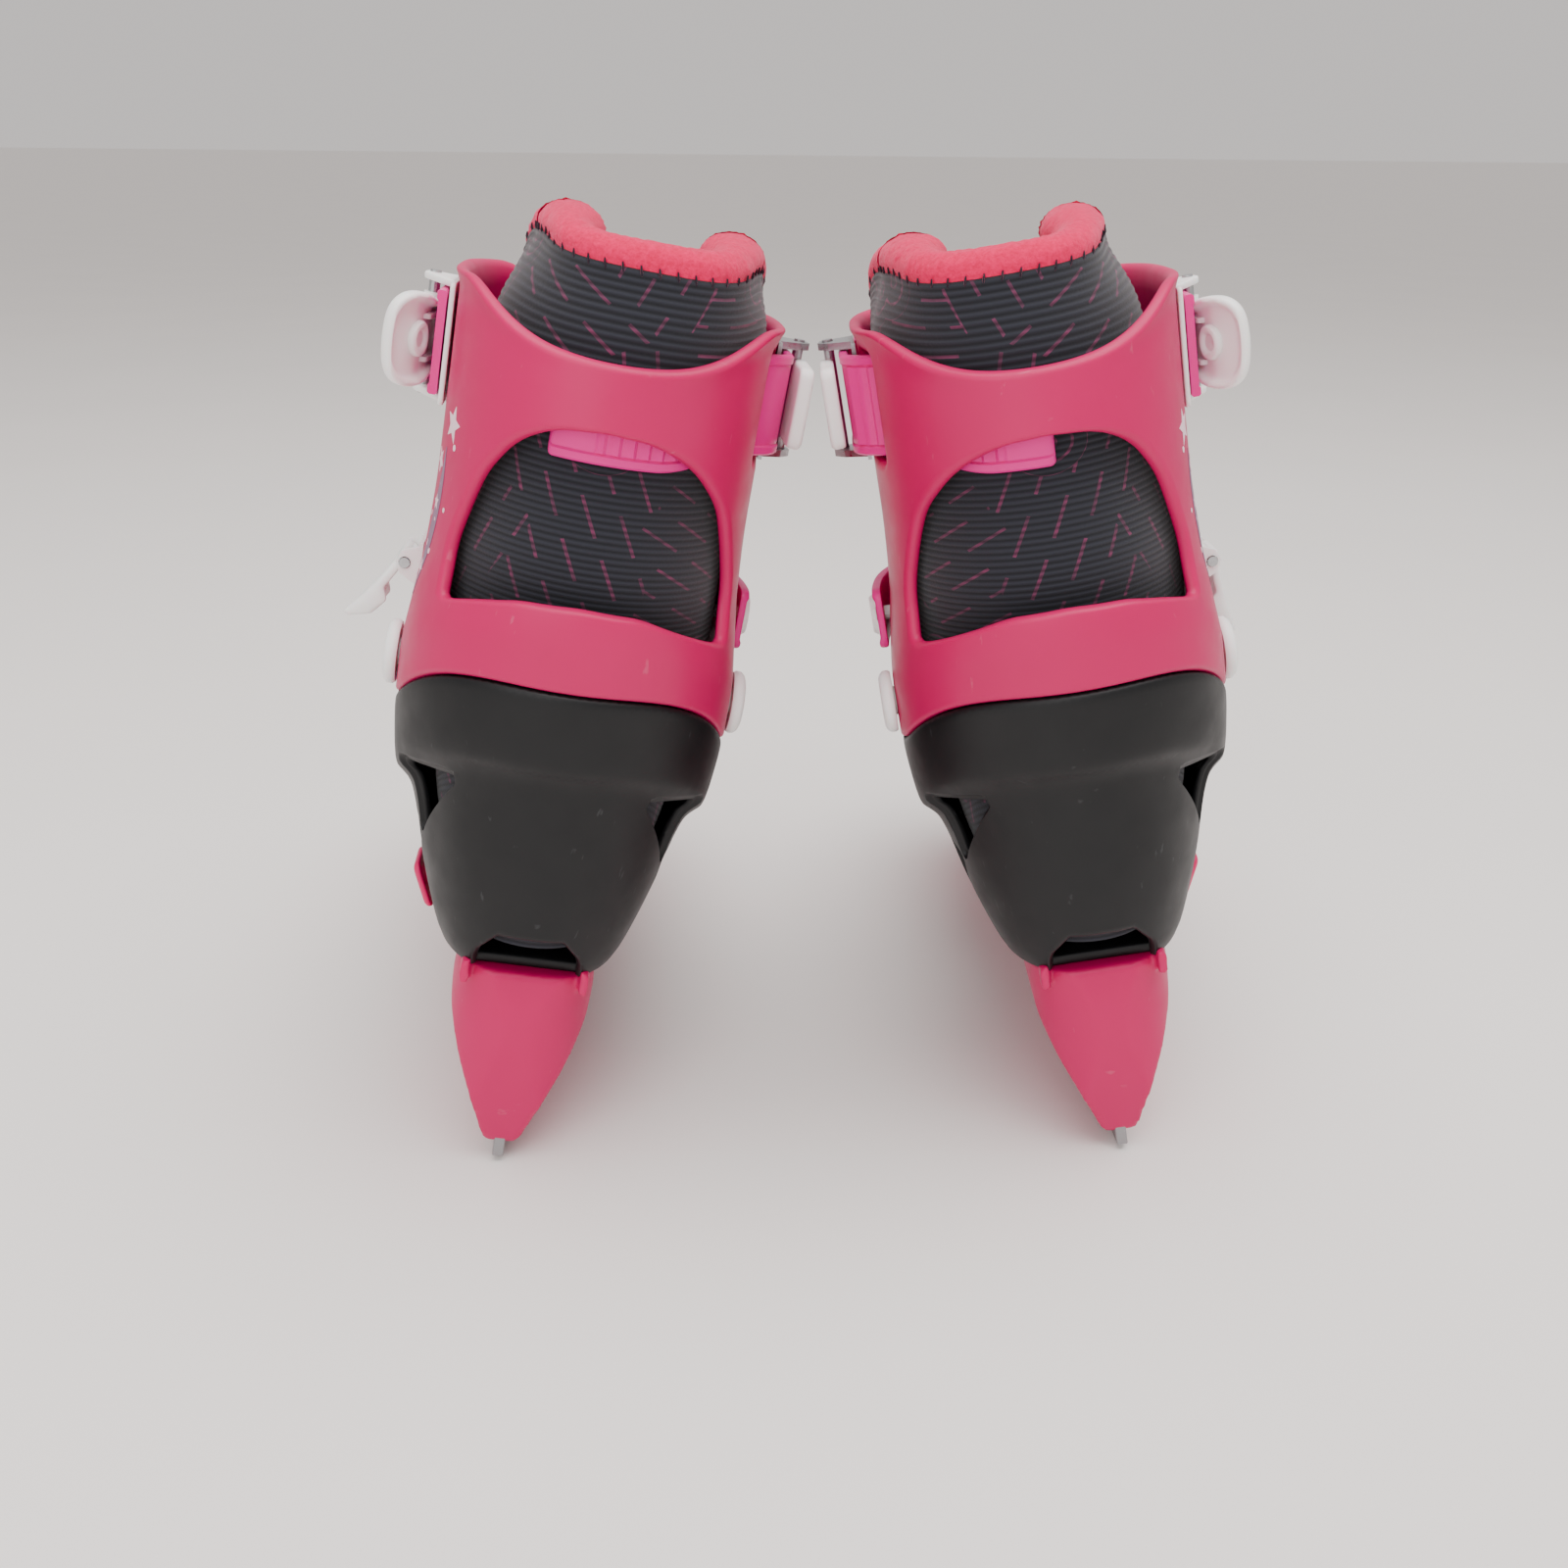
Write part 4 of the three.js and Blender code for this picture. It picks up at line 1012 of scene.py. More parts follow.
def on_cuff(run: Array, z: Array, depth: Array) -> Array:
    """Point under the cuff's outer face."""
    x, y = CUFF.point(run, z, depth)
    return np.stack([x, y, z + cuff_lift(z, y)], 1)


# ---- Sub-assemblies ----
@dataclass
class Runner:
    """Blade and the moulded holder that grips it."""

    shop: Workshop
    finishes: Finishes
    length: float = 232.0
    thickness: float = 3.0
    height: float = 21.0
    tip_rise: float = 17.0
    flat_to: float = 196.0
    plan_half: float = 19.0
    heel_centre: float = 14.0
    heel_reach: float = 17.4
    toe_centre: float = 190.0
    toe_reach: float = 34.0
    fuller: float = 0.5
    widths: tuple[tuple[float, float], ...] = (
        (5.4, 2.6), (6.5, 3.9), (9, 5.2), (14, 6.9), (21, 9.6), (34, 14.8), (46, 18), (53, 18.4), (60, 17.6))

    def build(self) -> None:
        """Makes the blade and its holder."""
        self.blade()
        self.holder()

    def blade(self) -> None:
        """Steel runner with eased edges."""
        turn = [(self.flat_to + (self.length - self.flat_to) * t, self.tip_rise * t * t)
                for t in np.linspace(0, 1, 14)]
        corners = [(0, 2), (8, 0)] + turn + [(self.length - 6, self.height), (8, self.height), (1, 9)]
        outline = resampled(np.array(corners, float), 1.5)
        half = self.thickness / 2

        def place(y: Array, z: Array, depth: Array) -> Array:
            """Point below the runner's outer face."""
            return np.stack([half - depth, y, z], 1)

        edge = [(0.5, 0.0), (0.25, 0.0), (0.0, 0.25), (0.0, self.thickness - 0.25), (0.25, self.thickness),
                (0.5, self.thickness)]
        shape = Panel(outline, place, edge, step=4.0).shape()
        piece = self.shop.mesh("steel_runner", shape, [self.finishes.blade], 25)
        self.shop.fit(piece, "base", "runner_steel", "blade")

    def holder(self) -> None:
        """Two towers on a beam, narrow at the blade and rounded at the heel."""
        side = softened(
            [(1.0, 5.4), (212, 5.4), (222, 13), (220, 23), (212, 32), (206, 60.0), (147, 60.0), (154, 38),
             (141, 27), (72, 27), (60, 38), (58, 60.0), (-1.6, 60.0), (-3.2, 48), (-3.0, 34), (-1.4, 18)],
            [2, 2, 6, 6, 8, 2, 2, 12, 12, 12, 12, 2, 1.2, 8, 8, 8], 1.2)
        heights = np.array([w[0] for w in self.widths])
        halves = np.array([w[1] for w in self.widths])
        levels = np.linspace(heights[0], heights[-1], 60)
        half = through(heights, halves, levels) + self.fuller
        across = np.vstack([np.column_stack([half, levels]), np.column_stack([-half, levels])[::-1]])
        turns = np.linspace(0, math.pi, 60)
        heel_y = self.heel_centre - self.heel_reach * np.sin(turns) ** 0.9
        heel = np.column_stack([self.plan_half * np.cos(turns), heel_y])[::-1]
        toe_y = self.toe_centre + self.toe_reach * np.sin(turns)
        toe = np.column_stack([self.plan_half * np.cos(turns), toe_y])
        plan = np.vstack([heel, toe])
        body = self.shop.mesh("runner_holder", prism(side, -30, 30, (2, 0, 1)), [self.finishes.pink])
        combine(body, self.shop.mesh("across", prism(across, -10, 240, (0, 2, 1)), []))
        combine(body, self.shop.mesh("plan", prism(plan, 0, 80, (0, 1, 2)), []))
        for tab in (-1, 1):
            block = softened([(14.4, 56), (16.9, 56), (16.9, 62.0), (14.4, 63.2)], 0.6, 0.5) * (tab, 1)
            combine(body, self.shop.mesh("tab", prism(block, -2.6, 3.0, (0, 2, 1)), []), Combining.JOINED)
        rounded_by_remesh(body, 0.75, 5)
        self.shop.fit(body, "base", "pink_polypropylene", "blade_holder")


@dataclass
class Shells:
    """Heel shell with its band, vents and cut-out, and the toe shell that slides in it."""

    shop: Workshop
    finishes: Finishes
    floor: float = 60.3
    band_top: float = 122.2
    heel_front: float = 140.0
    toe_rear: float = 100.0
    toe_inset: float = 3.5
    toe_wall: float = 2.6
    stem_hole: float = 3.3
    cut_y: float = -7.5
    vents: tuple[tuple[tuple[float, float], ...], ...] = (
        ((-1.5, 113.2), (16, 109.5), (15, 91)), ((17, 90), (25, 92), (22.5, 78)))

    @property
    def heel_form(self) -> Form:
        """The foot form with the bulged band round its top and the neck above it."""
        foot = {row.z: row for row in FOOT_ROWS}
        low = tuple(r for z, r in foot.items() if z <= 80)
        band = (
            Row(97.4, -11.2, 36.4, 26, 203, 39, 150), Row(99.6, -12.1, 37.8, 26, 197, 38.6, 147),
            Row(102.5, -14.2, 40.7, 26.6, 186, 37.8, 138), Row(105.5, -14.7, 41.6, 27, 175, 36.6, 129),
            Row(112, -15.1, 42.5, 28, 149, 34.2, 109), Row(120.6, -15.5, 43.2, 29.6, 126, 34, 88),
            Row(self.band_top, -15.0, 42.8, 30, 121, 34, 84))
        neck = (Row(122.9, -11.4, 39.2, 30, 120, 34, 82), *(r for z, r in foot.items() if z > 125))
        return Form(low + band + neck)

    def build(self) -> None:
        """Makes both shells."""
        self.heel_shell()
        self.toe_shell()

    def vent_loops(self, form: Form) -> list[Array]:
        """The vents' holes on the shell's surface, both sides, and the button's stem hole."""
        loops = []
        for corners in self.vents:
            outline = softened(list(corners), 2.2, 0.7)
            y, z = outline[:, 0], outline[:, 1]
            before = height_before(shell_lift, z, y)
            run = form.run_at_y(y, before)
            loop = np.column_stack([run, before])
            loops += [loop, loop * (-1, 1)]
        turns = np.arange(26) * math.pi / 13
        y, z = BUTTON_Y + self.stem_hole * np.cos(turns), STEM_Z + self.stem_hole * np.sin(turns)
        return loops + [np.column_stack([form.run_at_y(y, z), z])]

    def rim(self, form: Form, runs: Array) -> Array:
        """Height of the shell's upper edge at each run."""
        line_y = np.array([-40.0, -8, 10, 44, 62, 84, 112, 150, 260])
        line_z = np.array([151.5, 151.5, 149, 141, 126, 108, 97, 90, 90])
        heights = np.linspace(80, 147.6, 400)
        tops = []
        for run in runs:
            _, y = form.point(np.full_like(heights, run), heights)
            over = heights + shell_lift(heights, y) > np.interp(y, line_y, line_z)
            tops.append(heights[np.argmax(over)] if over.any() else heights[-1])
        return np.array(tops)

    def heel_shell(self) -> None:
        """Hard cup round the heel, its floor running on under the toe."""
        form = self.heel_form

        def place(run: Array, z: Array, depth: Array) -> Array:
            """Point below the heel shell's outer face."""
            bulge = smooth((z - 97) / 4) * smooth((123.2 - z) / 0.8)
            thin = np.where(z < 62.5, 0.8, 1.0)
            x, y = form.point(run, z, depth * thin * mix(1.0, 1.3, bulge))
            return np.stack([x, y, z + shell_lift(z, y)], 1)

        front = np.linspace(self.floor + 0.4, 92, 12)
        slope = [self.heel_front + 6, self.heel_front, self.heel_front - 12]
        front_y = np.interp(front, [60, 78, 120], slope)
        front_run = form.run_at_y(front_y, front)
        runs = np.linspace(0, front_run[-1], 90)
        top = np.column_stack([runs, self.rim(form, runs)])
        cut_x = np.array([0, 8.6, 13.4, 14.2, 14.2])
        cut_z = np.array([73.4, 73.2, 67.2, 64.8, self.floor])
        cut_low = height_before(shell_lift, cut_z, np.full_like(cut_z, self.cut_y))
        cut = np.column_stack([form.run_behind(cut_x, cut_low), cut_low])
        cut[-1, 1] = self.floor
        outer = np.vstack([cut, np.column_stack([front_run, front]), top[::-1][1:]])
        whole = np.vstack([outer, outer[::-1][1:-1] * (-1, 1)])
        levels = np.concatenate([
            np.arange(62, 96, 2.2), np.arange(96.4, 105, 0.75), np.arange(106, 120, 2.2),
            [120.4, 121.2, 121.8, 122.2, 122.5, 122.9], np.arange(124.5, 148, 2.4)])
        vent_edge = [(1.9, 0.0), (1.5, 0.0), (1.25, 0.5), (1.1, 1.1), (0.5, 1.25), (0.25, 1.6), (0.25, 2.6),
                     (0.5, 3.0), (0.9, 3.0)]
        wall = Panel(
            resampled(whole, 1.0), place, rounded_edge(SHELL_WALL, 0.9), self.vent_loops(form), vent_edge,
            2.2, levels)
        sole = self.plate(FOOT, self.floor, SHELL_WALL, 1.4, 200.0)
        piece = self.shop.mesh("heel_cup", wall.shape().joined(sole), [self.finishes.black], 60)
        self.shop.fit(piece, "base", "black_polypropylene", "heel_shell")

    def plate(self, form: Form, z: float, thickness: float, inset: float, y_to: float, y_from: float = -50.0
              ) -> Shape:
        """Flat floor of a shell.

        Args:
            form: The shell's form.
            z: Height of its lower face.
            thickness: The floor's thickness.
            inset: How far it is drawn in from the form.
            y_to: Where it ends towards the toe.
            y_from: Where it starts.

        Returns:
            The plate.
        """
        runs = np.linspace(-form.end, form.end, 260)[:-1]
        x, y = form.point(runs, np.full_like(runs, z + thickness), inset)
        y = np.where(np.abs(x) < 14.3, np.maximum(y, 2.4), y)
        loop = resampled(np.column_stack([x, np.clip(y, y_from, y_to)]), 1.2)

        def place(x: Array, y: Array, depth: Array) -> Array:
            """Point below the floor's upper face."""
            return np.stack([x, y, z + thickness - depth], 1)

        return Panel(loop, place, rounded_edge(thickness, 0.8, 2), step=6.0).shape()

    def toe_shell(self) -> None:
        """Toe cap that slides out to lengthen the shell."""
        low = self.floor + SHELL_WALL + 0.5

        def place(run: Array, z: Array, depth: Array) -> Array:
            """Point below the toe shell's outer face."""
            inset = self.toe_inset + depth
            x, y = FOOT.point(run, z, inset)
            roof = inset * smooth((z - 80) / 20) * smooth((y - 60) / 50)
            return np.stack([x, y, z + shell_lift(z, y) - roof], 1)

        line_y, line_z = np.array([60.0, 98, 126, 150]), np.array([90.0, 92, 101, 140])
        heights = np.linspace(82, 121, 300)
        rear = np.linspace(low, 92, 10)
        rear_run = FOOT.run_at_y(np.full_like(rear, self.toe_rear), rear)
        runs = np.linspace(rear_run[-1], FOOT.end, 80)
        tops = []
        for run in runs:
            at = place(np.full_like(heights, run), heights, np.zeros_like(heights))
            over = (at[:, 2] > np.interp(at[:, 1], line_y, line_z)) & (at[:, 1] < 150)
            tops.append(heights[np.argmax(over)] if over.any() else heights[-1])
        top = np.column_stack([runs, tops])
        # the wall is one strip from the inner side round the toe to the outer side
        outer = np.vstack([np.column_stack([rear_run, rear]), top[1:]])
        shifted = outer - (FOOT.end, 0)
        other = shifted[::-1][1:] * (-1, 1)
        loop = np.vstack([shifted, other])

        def place_round(run: Array, z: Array, depth: Array) -> Array:
            """The same, by run from the middle of the toe."""
            signed = np.where(run <= 0, FOOT.end + run, run - FOOT.end)
            signed = np.where(signed == 0, 1e-6, signed)
            return place(signed, z, depth)

        levels = np.concatenate([np.arange(low + 1, 92, 2.4), np.arange(92.6, 118, 0.8)])
        edge = rounded_edge(self.toe_wall, 0.8)
        wall = Panel(resampled(loop, 1.2), place_round, edge, step=2.4, levels=levels)
        sole = self.plate(FOOT, low, self.toe_wall, self.toe_inset + 1.2, 260.0, self.toe_rear)
        piece = self.shop.mesh("toe_cap", wall.shape().joined(sole), [self.finishes.black], 60)
        self.shop.fit(piece, "toe", "black_polypropylene", "toe_shell")


@dataclass
class Cuff:
    """Hinged ankle cuff with its window, rivets and print."""

    shop: Workshop
    finishes: Finishes
    wall: float = 3.0
    gap_low: float = 24.0
    gap_high: float = 27.0
    window: tuple[tuple[float, float], ...] = (
        (0, 164), (15, 163), (26, 160), (33.6, 156.6), (33.0, 170), (30.4, 180), (27.5, 189), (21.0, 198.5),
        (12, 203.2), (0, 204.2))
    inner_reach: float = 3.6
    inner_drop: float = 2.4
    slot_runs: tuple[float, float] = (-67.0, -54.0)
    film: float = 0.12
    stars: tuple[tuple[float, float, float, float], ...] = (
        (50, 196, 4.6, 12), (58, 186, 3.2, 40), (56, 176, 2.2, -8), (84, 172, 4.0, 20), (60, 158, 2.6, 30),
        (92, 190, 2.8, -20))
    dots: int = 26

    def build(self) -> None:
        """Makes the cuff, its rivets and its print."""
        self.shell()
        self.rivets()
        self.print_marks()

    def window_loop(self) -> Array:
        """The window's edge on the cuff's surface."""
        right = list(self.window)
        corners = right + [(-x, z) for x, z in right[::-1][1:-1]]
        radii = [3, 3, 4, 1.6, 4, 4, 4, 5, 5, 3]
        loop = softened(corners, radii + radii[::-1][1:-1], 1.0)
        towards = smooth((-loop[:, 0] - 12) / 20)
        x = loop[:, 0] - self.inner_reach * towards
        z = loop[:, 1] - self.inner_drop * towards * (1 - smooth((loop[:, 1] - 165) / 25))
        y = CUFF.point(CUFF.run_behind(x, z), z)[1]
        before = height_before(cuff_lift, z, y)
        return np.column_stack([CUFF.run_behind(x, before), before])

    def slot_loop(self) -> Array:
        """Slot on the inner side where the ladder strap goes in."""
        low, high = self.slot_runs
        corners = [(low, 198.4), (high, 198.0), (high, 225.2), (low, 225.6)]
        loop = softened(corners, 3.0, 1.0)
        y = CUFF.point(loop[:, 0], loop[:, 1])[1]
        return np.column_stack([loop[:, 0], height_before(cuff_lift, loop[:, 1], y)])

    def shell(self) -> None:
        """The cuff's wall, wrapped from one side of the front gap round the heel to the other."""
        heights = np.linspace(143.5, CUFF_TOP, 24)
        gap_x = np.interp(heights, [100, 240], [self.gap_low, self.gap_high])
        gap = np.column_stack([CUFF.run_at_x(gap_x, heights), heights])
        runs = np.linspace(0, gap[0, 0], 80)
        y = CUFF.point(runs, np.full_like(runs, 130.0))[1]
        foot = np.interp(y, [34, 38, 46, 54, 62, 100], [100, 124, 128, 136, 141, 143.5])
        bottom = np.column_stack([runs, np.maximum(CUFF_BOTTOM, foot)])
        corner = gap[-1]
        front = np.vstack([gap[1:-3], corner + [(-0.6, -4.2), (-1.8, -2.0), (-4.0, -0.5), (-7.0, 0.0)]])
        outer = np.vstack([bottom, front, [(40, CUFF_TOP), (0, CUFF_TOP)]])
        loop = np.vstack([outer, outer[::-1][1:-1] * (-1, 1)])
        window_edge = [(2.6, 0.0), (2.2, 0.0), (1.5, 0.12), (0.8, 0.45), (0.3, 1.0), (0.05, 1.7), (0.0, 2.5),
                       (0.35, 3.0), (0.8, 3.0)]
        holes = [self.window_loop(), self.slot_loop()]
        wall = Panel(resampled(loop, 1.0), on_cuff, rounded_edge(self.wall, 1.2, 4), holes, window_edge, 2.0)
        piece = self.shop.mesh("ankle_cuff", wall.shape(), [self.finishes.pink], 60)
        self.shop.fit(piece, "ankle", "pink_polypropylene", "cuff")

    def rivets(self) -> None:
        """Capped rivet on each side, with a shadow gap under its cap."""
        pivot = np.array([0, SkateFrame.PIVOT_Y, SkateFrame.PIVOT_Z])
        surface = float(CUFF.sizes(np.array([SkateFrame.PIVOT_Z]))[1][0])
        for text, way in (("outer", 1), ("inner", -1)):
            head = [(33.4, 0.6), (33.6, 6.2), (34.9, 6.5), (35.1, 3.9)]
            cap = [(0.4, 3.9), (0.5, 8.0), (1.2, 8.5), (2.6, 8.4), (3.5, 7.6), (3.9, 6.6), (4.0, 5.2),
                   (4.0, 2.4), (3.6, 1.9), (3.55, 0.5)]
            profile = head + [(surface + x, r) for x, r in cap]
            shape = turned([(x * way, r) for x, r in profile], pivot)
            piece = self.shop.mesh(f"rivet_cap_{text}", shape, [self.finishes.white], 40)
            self.shop.fit(piece, "base", "white_nylon", f"ankle_rivet_{text}")

    def mark(self, outline: Array, at: tuple[float, float], turn: float, finish: int) -> Shape:
        """Thin printed shape on the cuff's outer side.

        Args:
            outline: The shape round its own middle.
            at: Run and height of its middle.
            turn: How far it is turned, in degrees.
            finish: Finish number.

        Returns:
            The printed film.
        """
        c, s = math.cos(math.radians(turn)), math.sin(math.radians(turn))
        loop = outline @ np.array([[c, s], [-s, c]]) + at

        def place(run: Array, z: Array, depth: Array) -> Array:
            """Point in the film on the cuff's face."""
            return on_cuff(run, z, depth - self.film)

        shape = Panel(loop, place, [(0.0, 0.0), (0.0, 0.1)], step=2.5).shape()
        shape.finish = [finish] * len(shape.faces)
        return shape

    def print_marks(self) -> None:
        """Scattered stars, dots and a soft band down the outer side."""
        dice = np.random.default_rng(7)

        def star(size: float) -> Array:
            """Five-pointed star."""
            turns = np.arange(10) * math.pi / 5 + math.pi / 2
            reach = np.where(np.arange(10) % 2 == 0, size, size * 0.45)
            return np.column_stack([reach * np.cos(turns), reach * np.sin(turns)])

        def dot(size: float) -> Array:
            """Round dot."""
            turns = np.arange(12) * math.pi / 6
            return np.column_stack([size * np.cos(turns), size * np.sin(turns)])

        films = [self.mark(star(size), (run, z), turn, 0) for run, z, size, turn in self.stars]
        for _ in range(self.dots):
            at = (float(dice.uniform(47, 98)), float(dice.uniform(150, 200)))
            films.append(self.mark(dot(float(dice.uniform(0.35, 0.9))), at, 0, 0))
        sweep = np.linspace(0, 1, 24)
        swoosh = np.column_stack([53 + 2 * sweep + 7 * sweep ** 2, 190 - 40 * sweep])
        width = 2.4 * np.sin(math.pi * np.clip(sweep, 0.03, 0.97))[:, None] * (1, 0.2)
        band = np.vstack([swoosh + width, (swoosh - width)[::-1]])
        films.append(self.mark(band - band.mean(0), tuple(band.mean(0)), 0, 1))
        shape = films[0].joined(*films[1:])
        piece = self.shop.mesh("cuff_print", shape, [self.finishes.ink, self.finishes.grey_ink])
        self.shop.fit(piece, "ankle", "pink_polypropylene")


@dataclass
class Liner:
    """Soft ribbed boot with its fleece collar, tongue, stitching and insole."""

    shop: Workshop
    finishes: Finishes
    inset: float = 6.6
    stretch: float = 3.4
    thickness: float = 6.0
    floor: float = 66.9
    rib: float = 1.6
    rib_height: float = 0.28
    gap_half: float = 18.8
    slump: float = 3.4
    columns: int = 120

    @property
    def form(self) -> Form:
        """Foot and shaft as one form."""
        foot = tuple(row.drawn_in(self.inset, self.stretch) for row in FOOT_ROWS[1:8])
        return Form(foot + SHAFT_ROWS, (2.2, 3.4), (112.0, 140.0))

    def build(self) -> None:
        """Makes the boot and everything sewn to it."""
        self.boot()
        self.collar()
        self.stitches()
        self.tongue()
        self.insole()

    def ear(self, y: Array) -> Array:
        """1 where the collar stands highest at each side, 0 at the back and in front."""
        return smooth((y + 2) / 24) * (1 - smooth((y - 34) / 26))

    def seam(self, y: Array) -> Array:
        """Height of the seam between the knit and the fleece."""
        back = mix(240.2, 242.8, self.ear(y))
        return mix(back, 231.0, smooth((y - 44) / 24))

    def curl(self, y: Array) -> Array:
        """How far the boot's top leans in at its seam."""
        return mix(2.0, 6.4, self.ear(y))

    def surface(self, share: Array, z: Array, depth: Array) -> Array:
        """Point on or under the boot's outer face.

        Args:
            share: Place round the boot, from -1 to 1, where both ends meet in front.
            z: Height, with the seam at 236.
            depth: Depth below the face.

        Returns:
            Points in local millimetres.
        """
        form = self.form
        opened = smooth((z - 132) / 16)
        width = mix(0.3, self.gap_half, opened)
        end = form.run_at_x(width, z)
        run = share * end
        run = np.where(run == 0, 1e-6, run)
        y0 = form.point(run, z)[1]
        lean = self.curl(y0) * smooth((z - 214) / 22) ** 2
        x, y = form.point(run, z, depth + lean)
        roof = (self.inset + depth) * smooth((z - 80) / 20) * smooth((y0 - 60) / 50)
        roof = roof * (1 - smooth((z - 112) / 26))
        rise = shell_lift(z, y0) * (1 - smooth((z - 118) / 24))
        top = (self.seam(y0) - 236.0) * smooth((z - 200) / 36)
        return np.stack([x - self.slump * smooth((z - 200) / 34), y, z + rise - roof + top], 1)

    def boot(self) -> None:
        """The boot's two faces, joined round its top and down its front."""
        low = np.linspace(self.floor, 140, 34)[:-1]
        high = np.arange(140, 236.01, self.rib / 3)
        heights = np.concatenate([low, high])
        shares = np.linspace(-1, 1, self.columns + 1)
        count = len(shares)
        faces, finish = [], []
        layers = []
        for depth in (0.0, self.thickness):
            share = np.tile(shares, len(heights))
            z = np.repeat(heights, count)
            ribs = np.zeros_like(z)
            if depth == 0.0:
                wave = 1 - np.cos(2 * math.pi * z / self.rib)
                ribs = self.rib_height * 0.5 * wave * smooth((z - 146) / 6)
            lifted = np.where(z < self.floor + 1, z + depth * 0.7, z)
            layers.append(self.surface(share, lifted, depth + ribs + 0.6 * smooth((self.floor + 3 - z) / 3)))
        share_all = np.tile(shares, len(heights))
        z_all = np.repeat(heights, count)
        cloth = np.column_stack([share_all * 150.0 * MM, z_all * MM])
        rows = len(heights)
        size = rows * count
        for layer in (0, 1):
            for r in range(rows - 1):
                for c in range(count - 1):
                    a = layer * size + r * count + c
                    faces.append((a, a + 1, a + 1 + count, a + count))
                    finish.append(layer)
            faces.append(tuple(layer * size + c for c in range(count)))
            finish.append(layer)
        top = (rows - 1) * count
        for c in range(count - 1):
            faces.append((top + c, top + c + 1, size + top + c + 1, size + top + c))
            finish.append(1)
        for c in (0, count - 1):
            for r in range(rows - 1):
                a, b = r * count + c, (r + 1) * count + c
                faces.append((a, b, size + b, size + a))
                finish.append(0)
        shape = Shape(np.vstack(layers), faces, finish, np.vstack([cloth, cloth]))
        piece = self.shop.mesh("liner", shape, [self.finishes.lining, self.finishes.fleece], 70)
        at = self.shop.at
        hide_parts(at.name("liner_foot"), at.name("liner_shaft"))
        start, end = at.world(np.array([[0, 33.0, 104.0], [0, 33.0, 158.0]]))
        at.name("base")
        at.name("ankle")
        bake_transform(piece)
        LOG.info("%s: %d faces across the ankle", piece.name, len(piece.data.polygons))

    def rim(self, count: int) -> tuple[Array, Array, Array, Array]:
        """Middle of the collar's roll, the way in from it, and its half sizes.

        Args:
            count: Number of places along the collar.

        Returns:
            Middles, inward ways, half widths and half heights.
        """
        share = np.linspace(-1, 1, count)
        z = np.full(count, 236.0)
        edge = self.surface(share, z, np.zeros(count))
        deep = self.surface(share, z, np.full(count, 6.0))
        way = deep - edge
        way[:, 2] = 0
        way /= np.linalg.norm(way, axis=1, keepdims=True)
        ear = self.ear(edge[:, 1])
        taper = np.sqrt(np.clip(1 - (np.abs(share) * 1.0) ** 14, 0.02, 1))
        wide = mix(4.3, 7.6, ear) * taper
        tall = mix(4.6, 5.4, ear) * taper
        middle = edge + way * (wide[:, None] + 0.1)
        middle[:, 2] += mix(1.6, 2.2, ear)
        return middle, way, wide, tall

    def collar(self) -> None:
        """Fleece rolled over the top, plump at the ears."""
        count, around = 260, 28
        middle, way, wide, tall = self.rim(count)
        dice = np.random.default_rng(3)
        turns = np.arange(around) * 2 * math.pi / around
        pile = dice.normal(0, 0.05, (count, around))
        lumps = 0.35 * np.sin(np.linspace(0, 37, count))[:, None] * np.sin(turns * 2 + 1)[None, :] * 0.5
        rings = []
        for i in range(count):
            reach = 1 + (pile[i] + lumps[i] * 0.3) * 0.5
            ring = (middle[i] - way[i] * (wide[i] * np.cos(turns) * reach)[:, None]
                    + np.array([0, 0, 1.0]) * (tall[i] * np.sin(turns) * reach)[:, None])
            rings.append(ring)
        piece = self.shop.mesh("fleece_collar", loft(rings), [self.finishes.fleece], 80)
        self.shop.fit(piece, "ankle", "pink_fleece", "lining_collar")

    def stitches(self) -> None:
        """Overlock thread that bites over the edge of the fleece."""
        count = 92
        middle, way, wide, tall = self.rim(count)
        turns = np.arange(6) * math.pi / 3
        threads = []
        for i in range(3, count - 3):
            ahead_on = middle[i + 1] - middle[i - 1]
            ahead_on /= np.linalg.norm(ahead_on)
            path = []
            for angle, lift in ((-62, 0.0), (-48, 0.35), (-34, 0.42), (-20, 0.35), (-8, 0.0)):
                a = math.radians(angle)
                out = (wide[i] + 0.1 + lift) * math.cos(a)
                up = (tall[i] + 0.1 + lift) * math.sin(a)
                path.append(middle[i] - way[i] * out + np.array([0, 0, up]) + ahead_on * (angle + 35) * 0.02)
            rings = []
            for k, centre in enumerate(path):
                ahead = path[min(k + 1, 4)] - path[max(k - 1, 0)]
                ahead /= np.linalg.norm(ahead)
                third = np.cross(ahead, ahead_on)
                thick = 0.34 if 0 < k < 4 else 0.2
                circle = np.cos(turns)[:, None] * ahead_on + np.sin(turns)[:, None] * third
                rings.append(centre + thick * circle)
            threads.append(loft(rings))
        piece = self.shop.mesh("collar_stitches", threads[0].joined(*threads[1:]), [self.finishes.thread])
        self.shop.fit(piece, "ankle", "liner_fabric")

    def tongue(self) -> None:
        """Padded tongue, knit outside and fleece inside, that runs down over the instep."""
        path = np.array([
            [75.2, 237.5], [74.6, 220], [74, 195], [73.4, 170], [74.5, 152], [79, 140], [88, 131.5],
            [98, 125.5], [106, 121.5]])
        total = float(lengths_along(path)[-1])

        def place(across: Array, down: Array, depth: Array) -> Array:
            """Point below the tongue's outer face, which is rounded across."""
            (y, z), (dy, dz) = read_path(path, total - down, 0.5)
            round_off = 0.010 * across ** 2
            below = depth - 1.0
            return np.stack([across, y + dz * below - round_off * 0.7 * dz, z - dy * below], 1)

